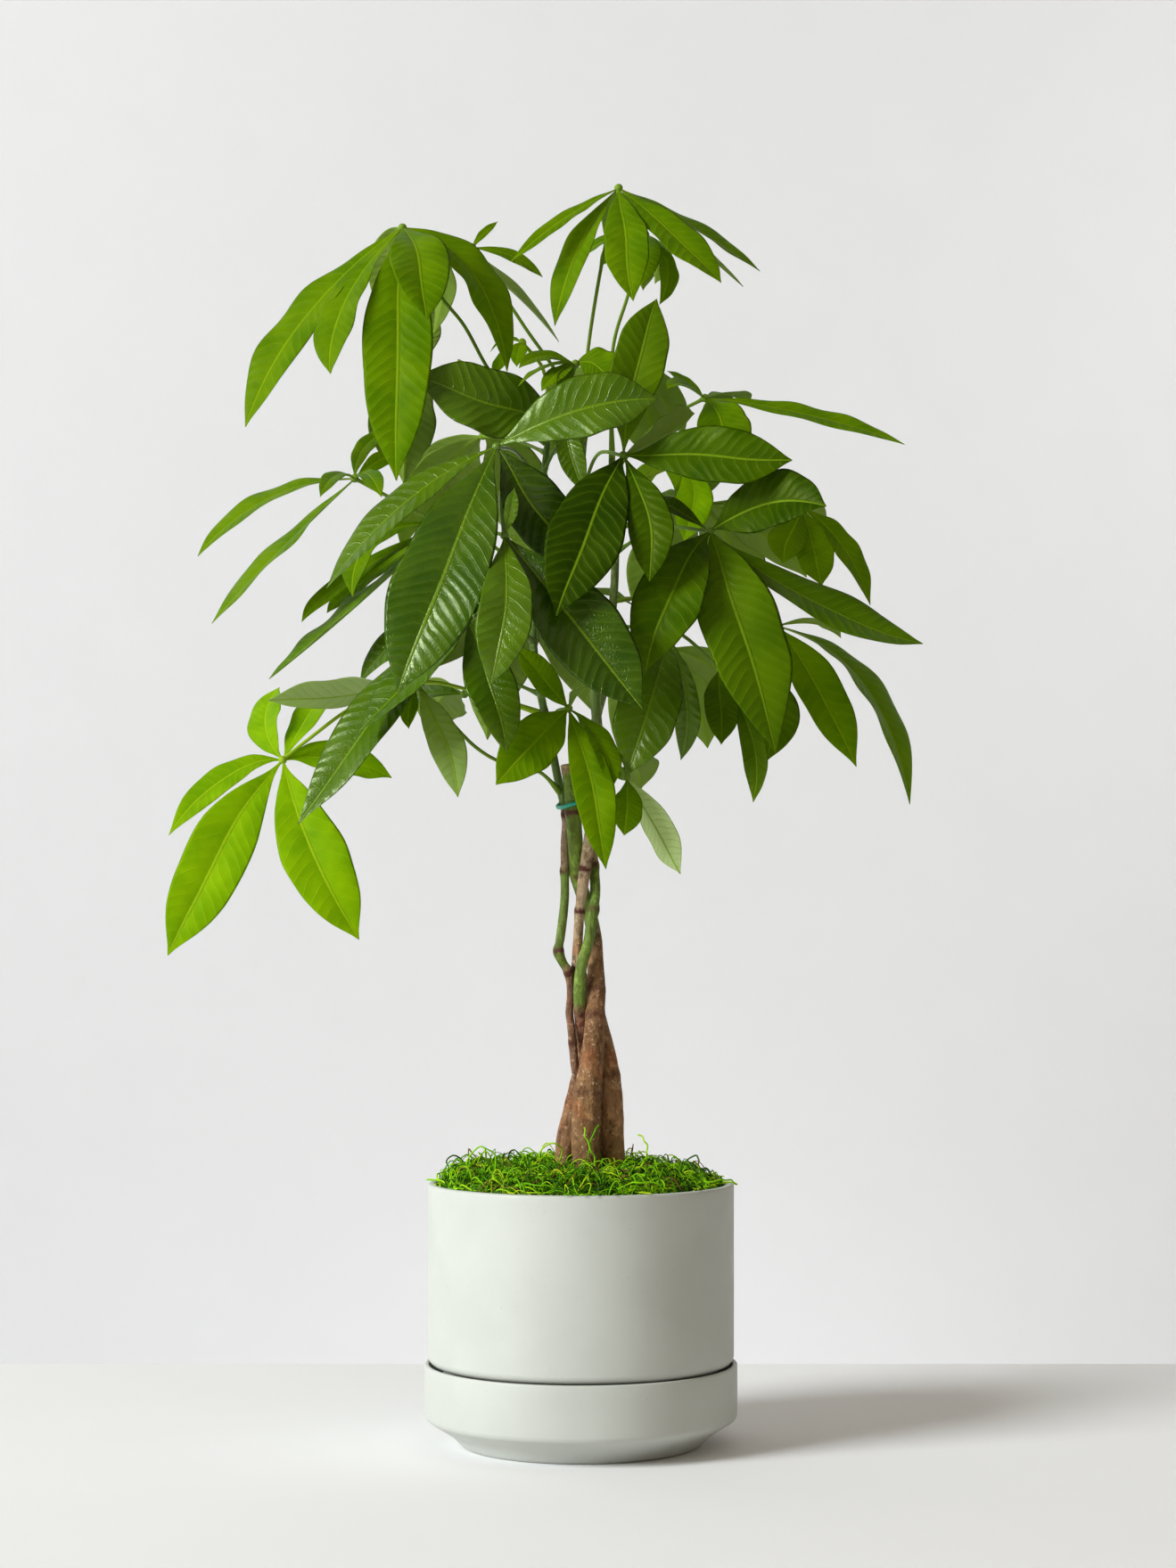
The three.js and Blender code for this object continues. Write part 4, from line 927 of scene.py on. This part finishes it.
# where old leaves left a swelling and a dark scar round the stem: height and share of the radius
JOINTS = {
    "stem_front": [[205, 0.04], [249, 0.07], [263, 0.05], [330, 0.07], [366.6, 0.12]],
    "stem_right": [[214, 0.05], [277, 0.14], [309.5, 0.15], [334, 0.12], [401, 0.2], [452, 0.15]],
    "stem_left": [[208, 0.05], [251, 0.08], [310.5, 0.18], [335.5, 0.18], [386, 0.12], [446, 0.14]],
    "stem_thin": [[233, 0.1], [273.5, 0.22], [286, 0.24], [333, 0.22], [366, 0.26], [424, 0.14]],
}
STEM_RINGS = 300
STEM_SIDES = 36


def make_stem(name, finish):
    """A stem from its table: swollen and scarred at its joints, lumpy all round."""
    rows = np.asarray(STEMS[name], dtype=float)
    line = catmull_rom(rows[:, :3], STEM_RINGS)
    z = line[:, 2]
    smooth_r = catmull_rom([[row[2], row[3], 0] for row in rows], 200)
    radii = np.interp(z, smooth_r[:, 0], smooth_r[:, 1])
    scar = np.zeros(STEM_RINGS)
    swell = np.ones(STEM_RINGS)
    for height, size in JOINTS[name]:
        swell += size * np.exp(-(((z - height) / 3.2) ** 2))
        swell -= 0.4 * size * np.exp(-(((z - height - 4) / 2) ** 2))
        scar = np.maximum(scar, np.exp(-(((z - height) / 1.9) ** 2)) * min(1, size * 8))
    angle = np.arange(STEM_SIDES) / STEM_SIDES * 2 * np.pi
    dice = np.random.default_rng(40 + list(STEMS).index(name))
    lumps = np.ones((STEM_RINGS, STEM_SIDES)) * swell[:, None]
    thin = name == "stem_thin"
    rough = 0.4 if thin else 1.0
    for turns, size in ((2, 0.03), (3, 0.022), (5, 0.014), (7, 0.01), (9, 0.008)):
        drift = dice.uniform(0.02, 0.05) * turns * z[:, None] * dice.choice([-1, 1])
        lumps = lumps + rough * size * np.sin(turns * angle[None, :] + drift + dice.uniform(0, 6))
    for _ in range(14):
        place, around, size = dice.uniform(150, 390), dice.uniform(0, 2 * np.pi), dice.uniform(0.03, 0.09)
        near = np.exp(-(((z[:, None] - place) / 4) ** 2))
        lumps = lumps + rough * size * near * np.exp(3 * (np.cos(angle[None, :] - around) - 1))
    heights, shades = zip(*TONES[name])
    colour = np.stack([np.interp(z, heights, channel) for channel in zip(*shades)], axis=-1)
    shape = Shape()
    radii[0] *= 0.9
    radii[-1] *= 0.86
    add_tube(shape, line, radii, STEM_SIDES, lumps, tone=colour, scar=scar)
    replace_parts(shape.piece(name + "_bark", finish, "young_bark" if thin else "bark"), name)


def make_tie():
    """The coated wire round the cut stem and the thin one, its ends twisted together at the back."""
    wire_r, clearance, end_wire_r = 1.1, 0.5, 0.8
    cut_stem, thin_stem = (stem_point(name, TIE_Z) for name in ("stem_front", "stem_thin"))
    turn = math.atan2(cut_stem[1] - thin_stem[1], cut_stem[0] - thin_stem[0])
    loop = []
    for centre, stem_r, half_turn in ((cut_stem, 4.6, 0), (thin_stem, 2.47, 180)):
        reach = stem_r + wire_r + clearance
        for degrees in (-80, -40, 0, 40, 80):
            angle = turn + math.radians(degrees + half_turn)
            height = TIE_Z + math.cos(2 * (angle - turn))
            loop.append([centre[0] + reach * math.cos(angle), centre[1] + reach * math.sin(angle), height])
    back = 7  # the place in the loop where the ends are twisted together
    root = np.array(loop[back])
    round_path = catmull_rom(loop[back:] + loop[:back + 1], 90)
    shape = Shape()
    add_tube(shape, round_path, np.full(90, wire_r + 0.05), 12)
    s = np.linspace(0, 1, 40)
    for start in (0, math.pi):
        angle = start + s * 5 * math.pi
        reach = 0.75 + 0.9 * s**4
        path = root + np.stack([reach * np.cos(angle), 9 * s, reach * np.sin(angle)], axis=-1)
        add_tube(shape, path, np.full(40, end_wire_r), 10)
    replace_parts(shape.piece("wire_tie", tie_material(), "tie"), "twist_tie")


# ---- moss ----
MOSS_R = 84.2
STRANDS_PER_PIECE = 1450


def moss_height(x, y):
    """Height of the moss mound: level with the rim at its edge, higher in the middle, lumpy."""
    reaches = [0, 0.4 * MOSS_R, 0.76 * MOSS_R, MOSS_R - 8, MOSS_R - 2.5, MOSS_R + 4]
    heights = [160.5, 161, 160.5, 158, 154.5, POT_HEIGHT]
    mound = np.interp(np.hypot(x, y), reaches, heights) - 3 * np.clip((x - 10) / 60, 0, 1)
    lift = np.clip((mound - POT_HEIGHT) / 14, 0, 1)
    broad = 3.2 * np.sin(x * 0.11 + 1) * np.cos(y * 0.09) + 2 * np.sin(x * 0.05 - y * 0.14)
    small = 1.3 * np.sin(x * 0.31 + 2 * np.sin(y * 0.12)) * np.sin(y * 0.27 + 1.5)
    return mound + (broad + small) * lift


def make_moss_bed():
    """The close bed under the strands, from the soil up."""
    sides, rings = 180, 56
    angle = np.arange(sides) / sides * 2 * np.pi
    reach = np.linspace(0.6, MOSS_R, rings)
    x = reach[:, None] * np.cos(angle)
    y = reach[:, None] * np.sin(angle)
    z = moss_height(x, y) - 5.5 + rng.uniform(-1.0, 1.0, x.shape)
    z[-1] = POT_HEIGHT - 2
    bottom = SOIL_TOP + 0.3
    skirt = [[MOSS_R, 141], [MOSS_R - 6, bottom]]
    xs = np.concatenate([x] + [[r * np.cos(angle)] for r, _ in skirt])
    ys = np.concatenate([y] + [[r * np.sin(angle)] for r, _ in skirt])
    zs = np.concatenate([z] + [[np.full(sides, h)] for _, h in skirt])
    vertices = np.stack([xs, ys, zs], axis=-1).reshape(-1, 3)
    vertices = np.concatenate([vertices, [[0, 0, z[0].mean()], [0, 0, bottom]]])
    shape = Shape()
    shape.add(vertices, capped_rings(len(xs), sides, inside_out=True))
    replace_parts(shape.piece("moss_bed", moss_material(False), "moss"), "moss")


def curl(reach, around, heading, steps, step, turn, wander, rise, over_rim=False):
    """The path of one curly strand over the mound, from a start at this reach and angle."""
    heading = heading + np.cumsum(rng.normal(turn, wander, steps))
    x = reach * math.cos(around) + np.cumsum(np.cos(heading)) * step
    y = reach * math.sin(around) + np.cumsum(np.sin(heading)) * step
    s = np.linspace(0, 1, steps)
    limit = POT_R + 1.5 if over_rim else MOSS_R - 1.6
    pull = np.minimum(1, limit / np.maximum(np.hypot(x, y), 1e-6))
    x, y = x * pull, y * pull
    arch = rise * np.sin(np.pi * s) ** 0.8
    tilt = rng.normal(0, 1.2) * np.sin(2 * np.pi * s + rng.uniform(0, 6))
    z = moss_height(x, y) - 4.5 + arch + tilt
    if over_rim:
        z = np.maximum(z, POT_HEIGHT + 0.9)
    return np.stack([x, y, z], axis=-1)


def moss_strands():
    """Fine curly strands lying all over the mound, each in its own shade."""
    shape = Shape()
    steps = 15
    for _ in range(STRANDS_PER_PIECE):
        reach = 83 * math.sqrt(rng.uniform())
        around = rng.uniform(0, 2 * math.pi)
        turn = rng.normal(0, 0.22)
        heading, step, rise = rng.uniform(0, 6.3), rng.uniform(0.7, 1.8), abs(rng.normal(3.8, 3.4))
        path = curl(reach, around, heading, steps, step, turn, 0.17, rise)
        radius = rng.uniform(0.22, 0.55)
        x, y = reach * math.cos(around), reach * math.sin(around)
        clump = math.sin(x * 0.21 + 2) * math.cos(y * 0.17) + math.sin(x * 0.07 + y * 0.11)
        shade = rng.choice([0.2, 0.45, 0.62, 0.78, 0.96], p=[0.25, 0.27, 0.25, 0.15, 0.08])
        shade = float(np.clip(shade + 0.11 * clump + rng.normal(0, 0.05), 0.05, 1))
        taper = radius * (1 - 0.5 * np.linspace(-1, 1, steps) ** 4)
        add_tube(shape, path, taper, 3, shade=shade)
    return shape


# the longer loops that stand up round the trunks and over the rim, through [x, y, z] points
LOOPS = [
    [[-62, -44, 157], [-64, -47, 168], [-56, -50, 176], [-49, -49, 171], [-48, -46, 158]],
    [[-24, -20, 163], [-22, -24, 173], [-14, -24, 176], [-11, -20, 170], [-13, -16, 163]],
    [[4, -24, 162], [5, -26, 174], [8, -25, 183], [10, -22, 186]],
    [[9, -24, 162], [7, -27, 170], [3, -27, 179], [2, -24, 185]],
    [[34, -22, 161], [38, -24, 170], [37, -23, 177], [33, -20, 181]],
    [[30, -30, 160], [36, -33, 167], [44, -31, 168], [47, -26, 161]],
    [[66, -46, 155], [76, -44, 156], [84, -36, 156], [89.5, -30, 153]],
    [[-78, -28, 153], [-83, -22, 157], [-80, -12, 158], [-74, -8, 154]],
    [[-40, -68, 154], [-30, -77, 157], [-18, -80, 156], [-10, -76, 153]],
    [[20, -74, 154], [30, -78, 158], [42, -72, 157], [46, -64, 155]],
    [[-10, 62, 156], [2, 70, 161], [16, 68, 160], [22, 60, 156]],
    [[58, 40, 156], [66, 44, 163], [70, 36, 163], [68, 26, 156]],
    [[-58, 38, 157], [-66, 42, 164], [-72, 32, 162], [-68, 24, 156]],
]


def make_moss():
    """The bed, two pieces of fine strands, and the longer loops and the strands over the rim."""
    finish = moss_material(True)
    make_moss_bed()
    for name in ("moss_strands_low", "moss_strands_high"):
        moss_strands().piece(name, finish, "moss")
    shape = Shape()
    rings = 34
    for number, points in enumerate(LOOPS):
        path = catmull_rom(points, rings)
        path = path + 0.35 * np.sin(np.linspace(0, 19, rings) + number)[:, None]
        add_tube(shape, path, np.full(rings, 0.5), 6, shade=0.62 + 0.2 * math.sin(number * 2.1))
    steps = 15
    for _ in range(34):
        around = rng.uniform(0, 2 * math.pi)
        heading, turn = around + rng.normal(0, 1), rng.normal(0, 0.2)
        path = curl(80, around, heading, steps, 0.9, turn, 0.12, 1.5, over_rim=True)
        add_tube(shape, path, np.full(steps, 0.33), 4, shade=rng.uniform(0.4, 0.9))
    shape.piece("moss_loops", finish, "moss")


# ---- pot and saucer ----
def make_turned_piece(name, node, profile, glaze):
    """A piece of pottery off the wheel, a hair out of round, in place of its CAD node."""
    shape = Shape()
    add_turned(shape, profile, 192, 0.0007)
    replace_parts(shape.piece(name, glaze, "glaze"), node)


def make_pottery():
    """The pot, stepped in where it stands in the saucer, and the saucer with its sloping underside."""
    glaze = glaze_material()
    inner_r = POT_R - POT_WALL
    step_inner_r = POT_STEP_R - POT_WALL
    make_turned_piece("pot_body", "pot", [
        [DRAIN_R, POT_FOOT_Z + 0.6], [DRAIN_R + 0.6, POT_FOOT_Z], [POT_FOOT_R - 0.8, POT_FOOT_Z],
        [POT_FOOT_R, POT_FOOT_Z + 0.5], [POT_STEP_R - 0.6, 17.2], [POT_STEP_R, 18.6],
        [POT_STEP_R, POT_STEP_Z - 1.6], [POT_STEP_R + 0.4, POT_STEP_Z - 0.5],
        [POT_STEP_R + 1.4, POT_STEP_Z], *arc(POT_R - 6, POT_STEP_Z + 6, 6, -88, -4, 12),
        *[[POT_R, z] for z in (64, 80, 98, 116, 134, 146)],
        *arc(POT_R - 1.7, POT_HEIGHT - 1.7, 1.7, 4, 86, 7),
        *arc(inner_r + 1.5, POT_HEIGHT - 1.5, 1.5, 94, 176, 7),
        [inner_r, 140], [inner_r, POT_STEP_Z + 10], [inner_r - 1.2, POT_STEP_Z + 6.5],
        [step_inner_r, POT_STEP_Z + 3], [step_inner_r, 22], [POT_FOOT_R - 4, POT_FLOOR_Z],
        [DRAIN_R + 0.6, POT_FLOOR_Z], [DRAIN_R, POT_FLOOR_Z - 0.6],
    ], glaze)
    wall_r = SAUCER_RIM_R - SAUCER_WALL
    make_turned_piece("saucer_body", "saucer", [
        [0.4, 0.6], [6, 0.6], [SAUCER_FOOT_R - 6, 0.6], [SAUCER_FOOT_R - 4, 0], [SAUCER_FOOT_R - 0.8, 0],
        [SAUCER_FOOT_R, 0.3], [SAUCER_FOOT_R + 1.5, 1.8], [SAUCER_FOOT_R + 4, 4.6], [SAUCER_FOOT_R + 7, 7],
        [SAUCER_FOOT_R + 12, 10.2], *arc(SAUCER_RIM_R - 5, 18.5, 5, -52, -3, 9),
        *[[SAUCER_RIM_R, z] for z in (24, 32, 40)],
        *arc(SAUCER_RIM_R - 1.2, SAUCER_HEIGHT - 1.2, 1.2, 4, 86, 6),
        *arc(wall_r + 1.2, SAUCER_HEIGHT - 1.2, 1.2, 94, 176, 6),
        [wall_r, 38], [wall_r, 22.5], [wall_r - 0.6, 19.5], [wall_r - 2.4, 17.5],
        [SAUCER_FOOT_R + 3, SAUCER_FLOOR + 1.2], [SAUCER_FOOT_R + 0.5, SAUCER_FLOOR], [6, SAUCER_FLOOR],
        [0.4, SAUCER_FLOOR],
    ], glaze)


# ---- floor, wall, light and camera ----
def stage_material(name, colour):
    n = material_nodes(name)
    shade = n.mix(n.noise(9, detail=2), colour, tuple(c * 0.97 for c in colour))
    return n.finish(n.surface(shade, 0.85, n.bump(n.noise(350), 0.1, 0.3)))


def make_plane(name, low, high, material):
    """A level or upright rectangle between two opposite corners, in metres."""
    corners = [low, (high[0], low[1], low[2]), high, (low[0], high[1], high[2])]
    mesh = bpy.data.meshes.new(name)
    mesh.from_pydata(corners, [], [(0, 1, 2, 3)])
    mesh.materials.append(material)
    plane = bpy.data.objects.new(name, mesh)
    bpy.context.collection.objects.link(plane)


def area_light(name, place, aim, size, power, colour):
    """A round soft light at a place, turned to a point, in metres and watts."""
    data = bpy.data.lights.new(name, "AREA")
    data.shape = "DISK"
    data.size = size
    data.energy = power
    data.color = colour
    lamp = bpy.data.objects.new(name, data)
    bpy.context.collection.objects.link(lamp)
    lamp.location = place
    direction = Vector(aim) - Vector(place)
    lamp.rotation_euler = direction.to_track_quat("-Z", "Y").to_euler()


def make_world():
    """Dim warm fill all round, pale where a view from the right or from behind looks past the plant."""
    fill, to_left, behind = (0.2, 0.16, 0.106), (0.62, 0.62, 0.61), (0.45, 0.45, 0.44)
    n = Nodes(bpy.data.worlds.new("studio"))
    way = n.make("ShaderNodeTexCoord").outputs["Generated"]
    to_right = n.feed(n.make("ShaderNodeSeparateXYZ"), way)
    colour = n.mix(n.ramp(to_right, -0.55, -0.88), fill, to_left)
    along = n.make("ShaderNodeVectorMath", operation="DOT_PRODUCT")
    n.feed(along, way, (0.707, -0.707, 0))
    colour = n.mix(n.ramp(along.outputs["Value"], 0.93, 0.972), colour, behind)
    shine = n.feed(n.make("ShaderNodeBackground"), colour)
    bpy.context.scene.world = n.finish(shine, "ShaderNodeOutputWorld")


def make_stage():
    """A pale table top that ends behind the plant, and a pale floor and wall well beyond it."""
    left, right, front, edge = -4.5, 12, -12, 0.31
    wall_x, wall_y, wall_top, low, top = 7, 2.6, 5, -0.9, -0.0002
    table = stage_material("pale_table", (0.89, 0.89, 0.90))
    wall = stage_material("pale_wall", (0.74, 0.74, 0.75))
    make_plane("floor", (left, front, top), (right, edge, top), table)
    make_plane("table_side", (right, edge, low), (left, edge, top), table)
    make_plane("lower_floor", (-wall_x, edge, low), (wall_x, wall_y, low), wall)
    make_plane("wall", (-wall_x, wall_y, low), (wall_x, wall_y, wall_top), wall)
    area_light("window", (-5.2, -3.3, 3.3), (0, 0, 0.35), 2.8, 560, (0.96, 1.0, 1.01))
    area_light("backdrop_side", (1.8, 1.7, 1.3), (1.3, wall_y, 0.7), 1.4, 7, (1.0, 1.0, 1.0))
    area_light("backdrop_low", (0.1, 1.7, -0.7), (0.1, wall_y, 0.15), 0.8, 3, (1.0, 1.0, 1.03))
    area_light("sky", (0.2, -1.4, 2.6), (0, 0, 0.3), 2.4, 4, (1.0, 0.98, 0.94))
    bpy.context.scene.view_settings.view_transform = "Standard"


def make_camera():
    """Level, and as high as the crown's lower leaves; the shift keeps the pot's sides upright."""
    data = bpy.data.cameras.new("camera")
    data.sensor_width = 36
    data.lens = 66.5
    data.shift_y = 0.0958
    camera = bpy.data.objects.new("camera", data)
    bpy.context.collection.objects.link(camera)
    camera.location = (0.00415, -1.687, 0.296)
    camera.rotation_euler = (math.radians(90), 0, 0)
    bpy.context.scene.camera = camera


# ---- the whole ----
make_camera()
make_world()
make_stage()
make_pottery()
make_moss()
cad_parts["soil"].data.materials.clear()
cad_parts["soil"].data.materials.append(soil_material())
bark = bark_material()
for stem in STEMS:
    make_stem(stem, bark)
make_tie()
make_leaves()
